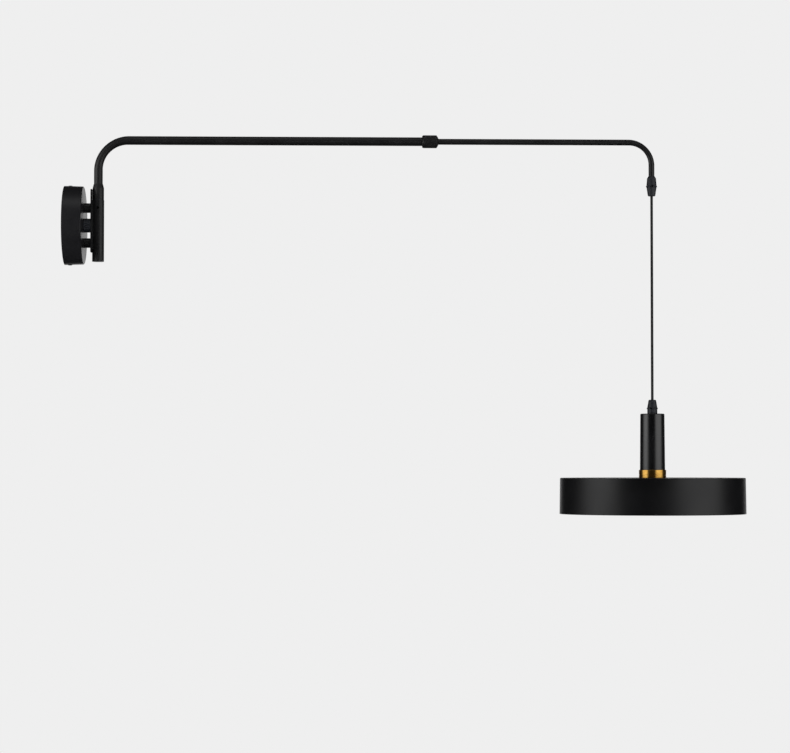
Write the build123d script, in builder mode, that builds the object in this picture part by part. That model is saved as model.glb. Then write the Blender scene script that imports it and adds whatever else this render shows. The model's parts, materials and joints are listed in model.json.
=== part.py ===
from build123d import *
from math import cos, radians, sin, sqrt, tan
import os

# Long-arm wall light, in millimetres.
# The origin is on the wall at the centre of the canopy, +X points out along the arm and +Z up.

# Canopy and the strap behind it
canopy_diameter = 127.0
canopy_taper = 0.8
canopy_depth = 31.0
canopy_wall = 1.2
canopy_edge_radius = 1.5
strap_width = 26.0
strap_thickness = 2.0
strap_ear_length = 16.0
strap_bend_radius = 1.0
wall_slot_spacing = 84.0
wall_slot_width = 5.0
wall_slot_length = 14.0
supply_hole_diameter = 12.0
supply_hole_height = 26.0
rim_screw_offset = 9.0
rim_screw_diameter = 4.0
rim_screw_head_diameter = 7.0
rim_screw_head_height = 0.9
rim_screw_socket = 2.5

# Bracket in front of the canopy
standoff_diameter = 15.5
standoff_length = 10.8
standoff_spacing = 56.4
standoff_screw_diameter = 5.0
standoff_screw_head_diameter = 9.5
standoff_screw_head_height = 3.2
standoff_screw_socket = 3.0
standoff_washer_diameter = 12.0
standoff_washer_thickness = 1.0
cable_bush_diameter = 22.5
cable_bush_spigot_diameter = 13.0
cable_bush_spigot_length = 5.0
bush_nut_width = 19.0
bush_nut_thickness = 3.5
bar_width = 20.0
bar_thickness = 2.5
bar_top = 58.5
bar_bottom = -43.2
bar_corner_radius = 4.0

# Pivot of the arm
sleeve_diameter = 19.0
sleeve_bore = 16.0
sleeve_top = 41.0
sleeve_bottom = -58.0
sleeve_flat_depth = 0.1
sleeve_window_diameter = 9.0
bush_flange_thickness = 1.0
upper_bush_length = 10.0
lower_bush_length = 10.0
plug_thickness = 3.0
plug_chamfer = 0.5
retainer_height = 2.5
collar_diameter = 18.2
collar_height = 18.3
collar_cone_height = 6.5
collar_lip = 0.4
grub_diameter = 4.0
grub_socket = 2.0
grub_socket_depth = 1.2

# Arm tube and its lock
arm_diameter = 14.0
arm_wall = 1.0
arm_height = 137.7
arm_bend_radius = 48.5
cable_window_height = 12.0
cable_window_reach = 1.2
lock_nut_start = 575.4
lock_nut_length = 25.9
lock_nut_diameter = 20.8
lock_nut_back_chamfer = 2.0
lock_nut_nose_length = 2.7
lock_nut_nose_diameter = 12.0
lock_nut_front_wall = 2.5
lock_nut_seat_length = 3.5
ferrule_setback = 1.0
ferrule_diameter = 17.0
ferrule_shoulder = 1.5
ferrule_engagement = 12.5
ferrule_lip = 2.0
ferrule_lip_bore = 10.8
collet_slit = 1.2

# Extension tube
extension_diameter = 9.5
extension_wall = 0.9
extension_bend_radius = 37.0
reach = 947.5
extend_travel = 30.0
retract_travel = 300.0
guide_bush_length = 25.0
guide_bush_setback = 2.0

# Cord grips
tip_end_height = 50.5
tip_cone_length = 14.4
tip_grip_length = 18.4
tip_spigot_diameter = 10.8
tip_spigot_length = 6.0
tip_adapter_length = 13.9
tip_adapter_cone = 3.4
tip_adapter_top_diameter = 14.5
tube_socket_depth = 7.0
holder_cone_length = 12.6
holder_grip_length = 22.5
grip_nose_diameter = 11.9
grip_nose_round = 1.6
grip_shoulder_diameter = 16.2
grip_ridge_diameter = 18.0
grip_ridge_slope = 0.9
grip_ridge_flat = 1.0
grip_screw_diameter = 3.0
grip_screw_socket = 1.5
grip_screw_sink = 0.3
holder_grip_screw_turn = 20.0

# Cord
cord_diameter = 4.3
cord_length = 330.0
cord_flex_length = 25.0
cord_pivot_depth = 2.0
swing_angle = 20.0
swing_margin = 2.5
lead_diameter = 1.7
lead_offset = 0.95
lead_bend_radius = 3.0

# Lamp holder
holder_length = 90.7
holder_top_diameter = 39.0
holder_bottom_diameter = 40.6
holder_wall = 1.0
holder_edge_radius = 1.5
nipple_diameter = 10.0
nipple_bore = 6.4
nipple_engagement = 4.4
nipple_nut_width = 14.0
nipple_nut_thickness = 4.0
socket_diameter = 36.0
socket_body_length = 44.0
socket_bore_depth = 34.0
socket_cap_length = 20.0
socket_cap_wall = 2.5
socket_cap_top = 4.0
socket_shell_bore = 26.6
socket_shell_wall = 0.8
socket_shell_length = 28.0
socket_shell_setback = 2.0
socket_contact_diameter = 8.0
socket_contact_thickness = 2.0
terminal_post_size = 6.0
terminal_post_height = 7.0
terminal_post_offset = 9.0
terminal_post_bore_depth = 4.0

# Shade and its rings
shade_diameter = 300.0
shade_top_diameter = 298.4
shade_height = 58.2
shade_wall = 0.8
shade_edge_radius = 1.5
brass_ring_diameter = 44.0
brass_ring_height = 12.8
brass_ring_seat_depth = 3.0
brass_groove_height = 4.2
brass_groove_width = 0.8
brass_groove_depth = 0.5
ring_nut_diameter = 52.0
ring_nut_height = 4.5
ring_nut_notch_count = 12
ring_nut_notch_width = 4.0
ring_nut_notch_depth = 2.0
socket_tail = 0.7

# Bulb
bulb_length = 80.0
bulb_diameter = 45.0
bulb_cap_diameter = 26.2
bulb_cap_length = 26.5
bulb_contact_diameter = 9.0
bulb_contact_height = 2.5
bulb_neck_diameter = 25.6
bulb_neck_length = 4.0
bulb_globe_wall = 1.0
bulb_globe_rise = 8.5

# Terminal block and earth point
terminal_pitch = 9.5
terminal_depth = 16.0
terminal_base_height = 4.0
terminal_turret_width = 6.0
terminal_turret_height = 10.0
terminal_height = -20.0
terminal_entry_height = 6.0
terminal_sleeve_diameter = 4.4
terminal_sleeve_bore = 3.0
terminal_screw_diameter = 2.4
terminal_screw_pitch = 8.0
terminal_screw_head_diameter = 3.2
terminal_fixing_diameter = 2.2
terminal_fixing_head_diameter = 3.0
terminal_fixing_head_height = 1.2
terminal_fixing_tail = 1.0
lead_insertion = 4.0
earth_height = 12.0
earth_screw_diameter = 4.0
earth_head_diameter = 7.0
earth_head_height = 2.6
earth_tag_diameter = 9.0
earth_tag_width = 5.0
earth_tag_length = 12.0
earth_tag_thickness = 0.8

# Clearances
seat_gap = 0.05
running_gap = 0.1
free_gap = 0.3
hole_gap = 0.25
ear_gap = 0.5
thrust_gap = 0.1
end_gap = 1.0

# Places worked out from the sizes
canopy_radius = canopy_diameter / 2
canopy_front_radius = canopy_radius - canopy_taper
canopy_inner_front = canopy_depth - canopy_wall
bar_back = canopy_depth + standoff_length
bar_front = bar_back + bar_thickness
post_x = bar_front + sleeve_diameter / 2 - sleeve_flat_depth
standoff_height = standoff_spacing / 2
plug_top = sleeve_bottom + plug_thickness
leg_bottom = plug_top + end_gap
retainer_bottom = leg_bottom + seat_gap
retainer_top = retainer_bottom + retainer_height
lower_bush_bottom = retainer_top + free_gap
flange_top = sleeve_top + bush_flange_thickness
collar_bottom = flange_top + thrust_gap
collar_shoulder = collar_bottom + collar_height
collar_top = collar_shoulder + collar_cone_height
arm_radius = arm_diameter / 2
arm_bore_radius = arm_radius - arm_wall
ferrule_start = lock_nut_start + ferrule_setback
arm_end = ferrule_start + ferrule_engagement
ferrule_end = arm_end + ferrule_lip
lock_nut_end = lock_nut_start + lock_nut_length
extension_radius = extension_diameter / 2
extension_bore_radius = extension_radius - extension_wall
guide_front = arm_end - extend_travel - free_gap
guide_back = guide_front - guide_bush_length
extension_inner_end = guide_back - guide_bush_setback
tip_joint_height = tip_end_height + tip_grip_length
tip_top_height = tip_joint_height + tip_adapter_length
extension_leg_end = tip_top_height - tube_socket_depth
cord_radius = cord_diameter / 2
cord_bore_radius = cord_radius + free_gap
cord_pivot_height = tip_end_height + cord_pivot_depth
cord_flex_end = cord_pivot_height - cord_flex_length
holder_nose_height = tip_end_height - cord_length
holder_top = holder_nose_height - holder_grip_length
nipple_top = holder_top + nipple_engagement
cord_end = nipple_top + end_gap
brass_ring_top = holder_top - holder_length
holder_bottom = brass_ring_top - brass_ring_seat_depth
shade_top = brass_ring_top - brass_ring_height
shade_ceiling = shade_top - shade_wall
shade_bottom = shade_top - shade_height
ring_nut_bottom = shade_ceiling - ring_nut_height
socket_bottom = ring_nut_bottom - socket_tail
socket_floor = socket_bottom + socket_bore_depth
socket_body_top = socket_bottom + socket_body_length
socket_top = socket_body_top + socket_cap_length
nipple_bottom = socket_top - socket_cap_top
socket_radius = socket_diameter / 2
neck_radius = socket_radius + hole_gap
bulb_tip = socket_floor - socket_contact_thickness - running_gap
bulb_cap_top = bulb_tip - bulb_contact_height
bulb_cap_bottom = bulb_cap_top - bulb_cap_length
bulb_bottom = bulb_tip - bulb_length
bulb_radius = bulb_diameter / 2
bulb_centre = bulb_bottom + bulb_radius
bulb_rim = bulb_centre + bulb_globe_rise
bulb_rim_radius = sqrt(bulb_radius**2 - bulb_globe_rise**2)
feed_tail_x = canopy_inner_front - cable_bush_spigot_length - lead_bend_radius
feed_end_x = post_x - arm_radius - free_gap
terminal_top = terminal_height + terminal_depth / 2
entry_x = strap_thickness + terminal_entry_height
tag_front = strap_thickness + earth_tag_thickness

# Planes and axes that the turned pieces share
front_plane = Plane.YZ
post_plane = Plane(origin=(post_x, 0, 0), x_dir=(1, 0, 0), z_dir=(0, -1, 0))
post_axis = Axis((post_x, 0, 0), (0, 0, 1))
run_plane = Plane(origin=(0, 0, arm_height), x_dir=(1, 0, 0), z_dir=(0, -1, 0))
run_axis = Axis((0, 0, arm_height), (1, 0, 0))
drop_plane = Plane(origin=(reach, 0, 0), x_dir=(1, 0, 0), z_dir=(0, -1, 0))
drop_axis = Axis((reach, 0, 0), (0, 0, 1))


def turn(points, plane, axis):
    """Add a closed outline of straight lines, drawn on plane and turned about axis."""
    with BuildSketch(plane) as outline:
        with BuildLine():
            Polyline(*points, close=True)
        make_face()
    revolve(outline.sketch, axis=axis)


def add_ring(outer_radius, inner_radius, bottom, top, plane, axis):
    """Add a plain upright ring about axis."""
    turn(
        [(inner_radius, bottom), (outer_radius, bottom), (outer_radius, top), (inner_radius, top)],
        plane,
        axis,
    )


def dome_screw(seat, head_radius, head_height, shank_radius, shank_length, socket_width):
    """Add a low dome-head screw with a hexagon socket; seat.z_dir points out through its head."""
    edge_height = head_height / 3
    with BuildSketch(Plane(seat.origin, x_dir=seat.x_dir, z_dir=-seat.y_dir)) as outline:
        with BuildLine():
            Polyline(
                (0, head_height),
                (0, -shank_length),
                (shank_radius, -shank_length),
                (shank_radius, 0),
                (head_radius, 0),
                (head_radius, edge_height),
            )
            EllipticalCenterArc(
                (0, edge_height), head_radius, head_height - edge_height, start_angle=0, arc_size=90
            )
        make_face()
    revolve(outline.sketch, axis=Axis(seat.origin, seat.z_dir))
    with BuildSketch(seat.offset(head_height)) as socket:
        RegularPolygon(socket_width / 2, 6, major_radius=False)
    extrude(socket.sketch, amount=edge_height - head_height, mode=Mode.SUBTRACT)


def grub_screw(face, radius, length, socket_width, socket_depth):
    """Add a headless screw with a hexagon socket; face lies on its outer end and points outward."""
    with BuildSketch(face) as section:
        Circle(radius)
    extrude(section.sketch, amount=-length)
    with BuildSketch(face) as socket:
        RegularPolygon(socket_width / 2, 6, major_radius=False)
    extrude(socket.sketch, amount=-socket_depth, mode=Mode.SUBTRACT)


def canopy_surface(offset):
    """Outer radius of the canopy at a distance from the wall."""
    return canopy_radius - canopy_taper * offset / canopy_depth


def grip_outline(cone_length, length, mouth_radius, mouth_depth, bore_radius):
    """Outline of a cord grip as (radius, distance from its nose), from its mouth round to its bore."""
    nose_radius = grip_nose_diameter / 2
    shoulder_radius = grip_shoulder_diameter / 2
    ridge_radius = grip_ridge_diameter / 2
    ridge_start = cone_length + grip_ridge_slope
    ridge_end = ridge_start + grip_ridge_flat
    corner = grip_nose_round * (1 - cos(radians(45)))
    return [
        (mouth_radius, 0),
        (nose_radius - grip_nose_round, 0),
        (nose_radius - corner, corner),
        (nose_radius, grip_nose_round),
        (shoulder_radius, cone_length),
        (ridge_radius, ridge_start),
        (ridge_radius, ridge_end),
        (shoulder_radius, ridge_end + grip_ridge_slope),
        (shoulder_radius, length),
        (bore_radius, length),
        (bore_radius, mouth_depth),
    ]


def radial_face(x, height, distance, turn_degrees):
    """Plane that faces outward from a vertical axis at x, turned from the side that faces -Y."""
    outward = (-sin(radians(turn_degrees)), -cos(radians(turn_degrees)), 0)
    return Plane(
        origin=(x + outward[0] * distance, outward[1] * distance, height),
        x_dir=(0, 0, 1),
        z_dir=outward,
    )


# Strap that is screwed to the wall
ear_canopy_radius = canopy_surface(strap_ear_length) - canopy_wall
ear_face = sqrt(ear_canopy_radius**2 - (strap_width / 2) ** 2) - ear_gap
ear_inner = ear_face - strap_thickness

with BuildPart() as wall_strap:
    with BuildSketch(Plane.XZ) as strap_side:
        with BuildLine():
            Polyline(
                (0, -ear_face),
                (strap_ear_length, -ear_face),
                (strap_ear_length, -ear_inner),
                (strap_thickness, -ear_inner),
                (strap_thickness, ear_inner),
                (strap_ear_length, ear_inner),
                (strap_ear_length, ear_face),
                (0, ear_face),
                close=True,
            )
        make_face()
        fillet(
            strap_side.vertices().group_by(Axis.X)[0], strap_thickness + strap_bend_radius
        )
        fillet(
            strap_side.vertices().filter_by(
                lambda v: abs(v.X - strap_thickness) < seat_gap and abs(abs(v.Y) - ear_inner) < seat_gap
            ),
            strap_bend_radius,
        )
    extrude(amount=strap_width / 2, both=True)
    with BuildSketch(front_plane):
        with Locations((0, wall_slot_spacing / 2), (0, -wall_slot_spacing / 2)):
            SlotOverall(wall_slot_length, wall_slot_width, rotation=90)
        with Locations((0, supply_hole_height)):
            Circle(supply_hole_diameter / 2)
        with Locations((0, earth_height)):
            Circle(earth_screw_diameter / 2 + seat_gap)
        with Locations(
            (-terminal_pitch / 2, terminal_height), (terminal_pitch / 2, terminal_height)
        ):
            Circle(terminal_fixing_diameter / 2 + seat_gap)
    extrude(amount=strap_thickness, mode=Mode.SUBTRACT)
    with BuildSketch(Plane.XY):
        with Locations((rim_screw_offset, 0)):
            Circle(rim_screw_diameter / 2 + seat_gap)
    extrude(amount=ear_face, both=True, mode=Mode.SUBTRACT)

# Canopy: a round cup, open to the wall
with BuildPart() as canopy:
    with BuildSketch(Plane.XY) as canopy_section:
        with BuildLine():
            Polyline(
                (0, canopy_radius - canopy_wall),
                (0, canopy_radius),
                (canopy_depth, canopy_front_radius),
                (canopy_depth, 0),
                (canopy_inner_front, 0),
                (canopy_inner_front, canopy_front_radius - canopy_wall),
                close=True,
            )
        make_face()
        fillet(
            canopy_section.vertices().sort_by_distance((canopy_depth, canopy_front_radius))[0],
            canopy_edge_radius,
        )
    revolve(axis=Axis.X)
    with BuildSketch(front_plane.offset(canopy_depth)):
        with Locations((0, standoff_height), (0, -standoff_height)):
            Circle(standoff_screw_diameter / 2 + hole_gap)
        Circle(cable_bush_spigot_diameter / 2 + seat_gap)
    extrude(amount=-2 * canopy_wall, mode=Mode.SUBTRACT)
    with BuildSketch(Plane.XY):
        with Locations((rim_screw_offset, 0)):
            Circle(rim_screw_diameter / 2 + hole_gap)
    extrude(amount=canopy_radius, both=True, mode=Mode.SUBTRACT)

# Two screws hold the canopy's rim to the strap's ears
rim_seat = canopy_surface(rim_screw_offset - rim_screw_head_diameter / 2) + seat_gap

with BuildPart() as canopy_screws:
    for side in (1, -1):
        dome_screw(
            Plane((rim_screw_offset, 0, side * rim_seat), x_dir=(1, 0, 0), z_dir=(0, 0, side)),
            rim_screw_head_diameter / 2,
            rim_screw_head_height,
            rim_screw_diameter / 2,
            rim_seat - ear_inner + strap_thickness,
            rim_screw_socket,
        )

# Spacers, screws and washers between the canopy and the bracket
with BuildPart() as bracket_standoffs:
    with BuildSketch(front_plane.offset(canopy_depth)):
        with Locations((0, standoff_height), (0, -standoff_height)):
            Circle(standoff_diameter / 2)
            Circle(standoff_screw_diameter / 2 + hole_gap, mode=Mode.SUBTRACT)
    extrude(amount=standoff_length)

washer_back = canopy_inner_front - standoff_washer_thickness

with BuildPart() as standoff_washers:
    with BuildSketch(front_plane.offset(washer_back)):
        with Locations((0, standoff_height), (0, -standoff_height)):
            Circle(standoff_washer_diameter / 2)
            Circle(standoff_screw_diameter / 2 + hole_gap, mode=Mode.SUBTRACT)
    extrude(amount=standoff_washer_thickness)

with BuildPart() as standoff_screws:
    for side in (1, -1):
        dome_screw(
            Plane((washer_back, 0, side * standoff_height), x_dir=(0, 1, 0), z_dir=(-1, 0, 0)),
            standoff_screw_head_diameter / 2,
            standoff_screw_head_height,
            standoff_screw_diameter / 2,
            bar_front - free_gap - washer_back,
            standoff_screw_socket,
        )

# Middle spacer that carries the cable, with a spigot and nut inside the canopy
with BuildPart() as cable_bush:
    with BuildSketch(front_plane.offset(canopy_depth)):
        Circle(cable_bush_diameter / 2)
    extrude(amount=standoff_length)
    with BuildSketch(front_plane.offset(canopy_depth)):
        Circle(cable_bush_spigot_diameter / 2)
    extrude(amount=-canopy_wall - cable_bush_spigot_length)
    with BuildSketch(front_plane.offset(bar_back)):
        Circle(sleeve_window_diameter / 2)
    extrude(amount=bar_thickness - free_gap)
    with BuildSketch(front_plane.offset(canopy_inner_front - cable_bush_spigot_length)):
        Circle(cord_bore_radius)
    extrude(amount=bar_front, mode=Mode.SUBTRACT)

with BuildPart() as bush_nut:
    with BuildSketch(front_plane.offset(canopy_inner_front)):
        RegularPolygon(bush_nut_width / 2, 6, major_radius=False)
        Circle(cable_bush_spigot_diameter / 2 + seat_gap, mode=Mode.SUBTRACT)
    extrude(amount=-bush_nut_thickness)

# Flat bar behind the pivot sleeve
with BuildPart() as bracket_bar:
    with BuildSketch(front_plane.offset(bar_back)):
        with Locations((0, (bar_top + bar_bottom) / 2)):
            RectangleRounded(bar_width, bar_top - bar_bottom, bar_corner_radius)
        with Locations((0, standoff_height), (0, -standoff_height)):
            Circle(standoff_screw_diameter / 2 + seat_gap, mode=Mode.SUBTRACT)
        Circle(sleeve_window_diameter / 2 + seat_gap, mode=Mode.SUBTRACT)
    extrude(amount=bar_thickness)

# Upright tube that the arm turns in, with a flat where it is joined to the bar
with BuildPart() as pivot_sleeve:
    add_ring(sleeve_diameter / 2, sleeve_bore / 2, sleeve_bottom, sleeve_top, post_plane, post_axis)
    with BuildSketch(front_plane.offset(bar_front)):
        with Locations((0, (sleeve_top + sleeve_bottom) / 2)):
            Rectangle(sleeve_diameter, sleeve_top - sleeve_bottom)
    extrude(amount=-sleeve_diameter, mode=Mode.SUBTRACT)
    with BuildSketch(front_plane.offset(bar_front)):
        Circle(sleeve_window_diameter / 2)
    extrude(amount=sleeve_diameter / 2, mode=Mode.SUBTRACT)
    with BuildSketch(Plane(origin=(post_x, 0, standoff_height), x_dir=(1, 0, 0), z_dir=(0, -1, 0))):
        Circle(grub_diameter / 2 + seat_gap)
    extrude(amount=sleeve_diameter, mode=Mode.SUBTRACT)

with BuildPart() as upper_bush:
    bush_outer = sleeve_bore / 2 - seat_gap
    bush_inner = arm_radius + running_gap
    turn(
        [
            (bush_inner, sleeve_top - upper_bush_length),
            (bush_outer, sleeve_top - upper_bush_length),
            (bush_outer, sleeve_top),
            (collar_diameter / 2, sleeve_top),
            (collar_diameter / 2, flange_top),
            (bush_inner, flange_top),
        ],
        post_plane,
        post_axis,
    )

with BuildPart() as lower_bush:
    add_ring(
        bush_outer,
        bush_inner,
        lower_bush_bottom,
        lower_bush_bottom + lower_bush_length,
        post_plane,
        post_axis,
    )

with BuildPart() as friction_screw:
    grub_screw(
        radial_face(post_x, standoff_height, sleeve_diameter / 2, 0),
        grub_diameter / 2,
        sleeve_diameter / 2 - arm_radius - free_gap,
        grub_socket,
        grub_socket_depth,
    )

with BuildPart() as sleeve_plug:
    plug_radius = sleeve_bore / 2 - seat_gap
    turn(
        [
            (0, sleeve_bottom),
            (plug_radius - plug_chamfer, sleeve_bottom),
            (plug_radius, sleeve_bottom + plug_chamfer),
            (plug_radius, plug_top),
            (0, plug_top),
        ],
        post_plane,
        post_axis,
    )

# Terminal block, with three poles between the supply and the lamp
pole_places = [-terminal_pitch, 0, terminal_pitch]
screw_heights = [terminal_height - terminal_screw_pitch / 2, terminal_height + terminal_screw_pitch / 2]
turret_top = strap_thickness + terminal_base_height + terminal_turret_height
screw_places = [(pole, height) for pole in pole_places for height in screw_heights]
fixing_places = [(-terminal_pitch / 2, terminal_height), (terminal_pitch / 2, terminal_height)]
base_top = strap_thickness + terminal_base_height
sleeve_hole_radius = terminal_sleeve_diameter / 2 + seat_gap
entry_plane = Plane(origin=(entry_x, 0, terminal_top), x_dir=(0, 1, 0), z_dir=(0, 0, 1))

with BuildPart() as terminal_block:
    with BuildSketch(front_plane.offset(strap_thickness)):
        with Locations((0, terminal_height)):
            Rectangle(3 * terminal_pitch, terminal_depth)
    extrude(amount=terminal_base_height)
    with BuildSketch(front_plane.offset(base_top)):
        for pole in pole_places:
            with Locations((pole, terminal_height)):
                Rectangle(terminal_turret_width, terminal_depth)
    extrude(amount=terminal_turret_height)
    with BuildSketch(front_plane.offset(turret_top)):
        with Locations(*screw_places):
            Circle(terminal_screw_head_diameter / 2 + seat_gap)
    extrude(amount=entry_x - turret_top, mode=Mode.SUBTRACT)
    with BuildSketch(front_plane.offset(base_top)):
        with Locations(*fixing_places):
            Circle(terminal_fixing_diameter / 2 + hole_gap)
    extrude(amount=-terminal_base_height, mode=Mode.SUBTRACT)
    with BuildSketch(entry_plane):
        with Locations(*[(pole, 0) for pole in pole_places]):
            Circle(sleeve_hole_radius)
    extrude(amount=-terminal_depth, mode=Mode.SUBTRACT)

with BuildPart() as terminal_sleeves:
    with BuildSketch(entry_plane):
        with Locations(*[(pole, 0) for pole in pole_places]):
            Circle(terminal_sleeve_diameter / 2)
            Circle(terminal_sleeve_bore / 2, mode=Mode.SUBTRACT)
    extrude(amount=-terminal_depth)
    with BuildSketch(front_plane.offset(entry_x)):
        with Locations(*screw_places):
            Circle(terminal_screw_diameter / 2 + seat_gap)
    extrude(amount=terminal_sleeve_diameter, mode=Mode.SUBTRACT)

sleeve_crown = entry_x + terminal_sleeve_diameter / 2 + running_gap

with BuildPart() as terminal_screws:
    with BuildSketch(front_plane.offset(sleeve_crown)):
        with Locations(*screw_places):
            Circle(terminal_screw_head_diameter / 2)
    extrude(amount=turret_top - sleeve_crown - free_gap)
    with BuildSketch(front_plane.offset(sleeve_crown)):
        with Locations(*screw_places):
            Circle(terminal_screw_diameter / 2)
    extrude(amount=entry_x + lead_diameter / 2 + running_gap - sleeve_crown)

with BuildPart() as terminal_fixing_screws:
    for pole, height in fixing_places:
        dome_screw(
            Plane((base_top, pole, height), x_dir=(0, 1, 0), z_dir=(1, 0, 0)),
            terminal_fixing_head_diameter / 2,
            terminal_fixing_head_height,
            terminal_fixing_diameter / 2,
            base_top - seat_gap,
            terminal_fixing_tail,
        )

# Earth point on the strap
with BuildPart() as earth_tag:
    with BuildSketch(front_plane.offset(strap_thickness)):
        with Locations((0, earth_height)):
            Circle(earth_tag_diameter / 2)
        with Locations((0, earth_height - earth_tag_length / 2)):
            Rectangle(earth_tag_width, earth_tag_length)
        with Locations((0, earth_height)):
            Circle(earth_screw_diameter / 2 + hole_gap, mode=Mode.SUBTRACT)
    extrude(amount=earth_tag_thickness)

with BuildPart() as earth_screw:
    dome_screw(
        Plane((tag_front, 0, earth_height), x_dir=(0, 1, 0), z_dir=(1, 0, 0)),
        earth_head_diameter / 2,
        earth_head_height,
        earth_screw_diameter / 2,
        tag_front - seat_gap,
        rim_screw_socket,
    )

# Cable from the arm into the canopy, and its leads to the terminals
lead_end = terminal_top - lead_insertion
lead_fan_x = feed_tail_x - lead_bend_radius

with BuildPart() as feed_cable:
    with BuildSketch(front_plane.offset(feed_tail_x)):
        Circle(cord_radius)
    extrude(amount=feed_end_x - feed_tail_x)

with BuildPart() as lead_live:
    with BuildLine() as live_route:
        FilletPolyline(
            (feed_tail_x, -lead_offset, 0),
            (lead_fan_x, -lead_offset, 0),
            (entry_x, -terminal_pitch, 0),
            (entry_x, -terminal_pitch, lead_end),
            radius=lead_bend_radius,
        )
    with BuildSketch(Plane(live_route.line @ 0, z_dir=live_route.line % 0)):
        Circle(lead_diameter / 2)
    sweep()

with BuildPart() as lead_neutral:
    with BuildLine() as neutral_route:
        FilletPolyline(
            (feed_tail_x, lead_offset, 0),
            (lead_fan_x, lead_offset, 0),
            (entry_x, terminal_pitch, 0),
            (entry_x, terminal_pitch, lead_end),
            radius=lead_bend_radius,
        )
    with BuildSketch(Plane(neutral_route.line @ 0, z_dir=neutral_route.line % 0)):
        Circle(lead_diameter / 2)
    sweep()

earth_lead_x = tag_front + lead_diameter / 2 + seat_gap
tag_end = earth_height - earth_tag_length

with BuildPart() as lead_earth:
    with BuildLine() as earth_route:
        FilletPolyline(
            (entry_x, 0, lead_end),
            (entry_x, 0, (terminal_top + tag_end) / 2),
            (earth_lead_x, 0, tag_end),
            (earth_lead_x, 0, earth_height - earth_tag_diameter / 2 - lead_diameter),
            radius=lead_bend_radius,
        )
    with BuildSketch(Plane(earth_route.line @ 0, z_dir=earth_route.line % 0)):
        Circle(lead_diameter / 2)
    sweep()

# Thick bent tube, with a window in its leg for the cable
with BuildPart() as arm_tube:
    with BuildLine():
        FilletPolyline(
            (post_x, 0, leg_bottom),
            (post_x, 0, arm_height),
            (arm_end, 0, arm_height),
            radius=arm_bend_radius,
        )
    with BuildSketch(Plane((post_x, 0, leg_bottom), z_dir=(0, 0, 1))):
        Circle(arm_radius)
        Circle(arm_bore_radius, mode=Mode.SUBTRACT)
    sweep()
    with BuildSketch(front_plane.offset(post_x + cable_window_reach)):
        Rectangle(2 * arm_diameter, cable_window_height)
    extrude(amount=-arm_diameter, mode=Mode.SUBTRACT)

# Collar that turns with the arm on top of the sleeve
with BuildPart() as swivel_collar:
    turn(
        [
            (arm_radius + seat_gap, collar_bottom),
            (collar_diameter / 2, collar_bottom),
            (collar_diameter / 2, collar_shoulder),
            (arm_radius + collar_lip, collar_top),
            (arm_radius + seat_gap, collar_top),
        ],
        post_plane,
        post_axis,
    )
    with BuildSketch(
        Plane((post_x, 0, collar_bottom + collar_height / 2), x_dir=(1, 0, 0), z_dir=(0, 1, 0))
    ):
        Circle(grub_diameter / 2 + seat_gap)
    extrude(amount=collar_diameter, mode=Mode.SUBTRACT)

with BuildPart() as collar_screw:
    grub_screw(
        radial_face(post_x, collar_bottom + collar_height / 2, collar_diameter / 2, 180),
        grub_diameter / 2,
        collar_diameter / 2 - arm_radius - seat_gap,
        grub_socket,
        grub_socket_depth,
    )

with BuildPart() as leg_retainer:
    add_ring(
        sleeve_bore / 2 - free_gap,
        arm_radius + seat_gap,
        retainer_bottom,
        retainer_top,
        post_plane,
        post_axis,
    )

# Cable inside the thick tube, lying against the inner side of its bend
cable_sag = arm_bore_radius - cord_radius - free_gap
arm_cable_end = extension_inner_end - retract_travel - cord_diameter

with BuildPart() as arm_cable:
    with BuildLine():
        FilletPolyline(
            (post_x + cable_sag, 0, 0),
            (post_x + cable_sag, 0, arm_height - cable_sag),
            (arm_cable_end, 0, arm_height - cable_sag),
            radius=arm_bend_radius - cable_sag,
        )
    with BuildSketch(Plane((post_x + cable_sag, 0, 0), z_dir=(0, 0, 1))):
        Circle(cord_radius)
    sweep()

# Threaded end of the thick tube, split collet and lock nut
ferrule_radius = ferrule_diameter / 2
nut_bore_radius = ferrule_radius + running_gap
nut_nose_bore_radius = extension_radius + free_gap
nut_seat_end = lock_nut_end - lock_nut_front_wall
nut_seat_start = nut_seat_end - lock_nut_seat_length
collet_back = ferrule_end + free_gap
collet_radius = nut_bore_radius - free_gap
collet_nose_radius = nut_nose_bore_radius + free_gap

with BuildPart() as lock_ferrule:
    turn(
        [
            (ferrule_start, arm_radius + seat_gap),
            (ferrule_start, ferrule_radius - ferrule_shoulder / 2),
            (ferrule_start + ferrule_shoulder, ferrule_radius),
            (ferrule_end, ferrule_radius),
            (ferrule_end, ferrule_lip_bore / 2),
            (arm_end, ferrule_lip_bore / 2),
            (arm_end, arm_radius + seat_gap),
        ],
        run_plane,
        run_axis,
    )

with BuildPart() as lock_collet:
    turn(
        [
            (collet_back, extension_radius + running_gap),
            (collet_back, collet_radius),
            (nut_seat_start - free_gap, collet_radius),
            (nut_seat_end - 2 * free_gap, collet_nose_radius),
            (nut_seat_end - 2 * free_gap, extension_radius + running_gap),
        ],
        run_plane,
        run_axis,
    )
    with BuildSketch(Plane.XY.offset(arm_height)):
        with Locations(((collet_back + nut_seat_end) / 2, 0)):
            Rectangle(nut_seat_end - collet_back, collet_slit)
    extrude(amount=-ferrule_diameter, mode=Mode.SUBTRACT)

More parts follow.
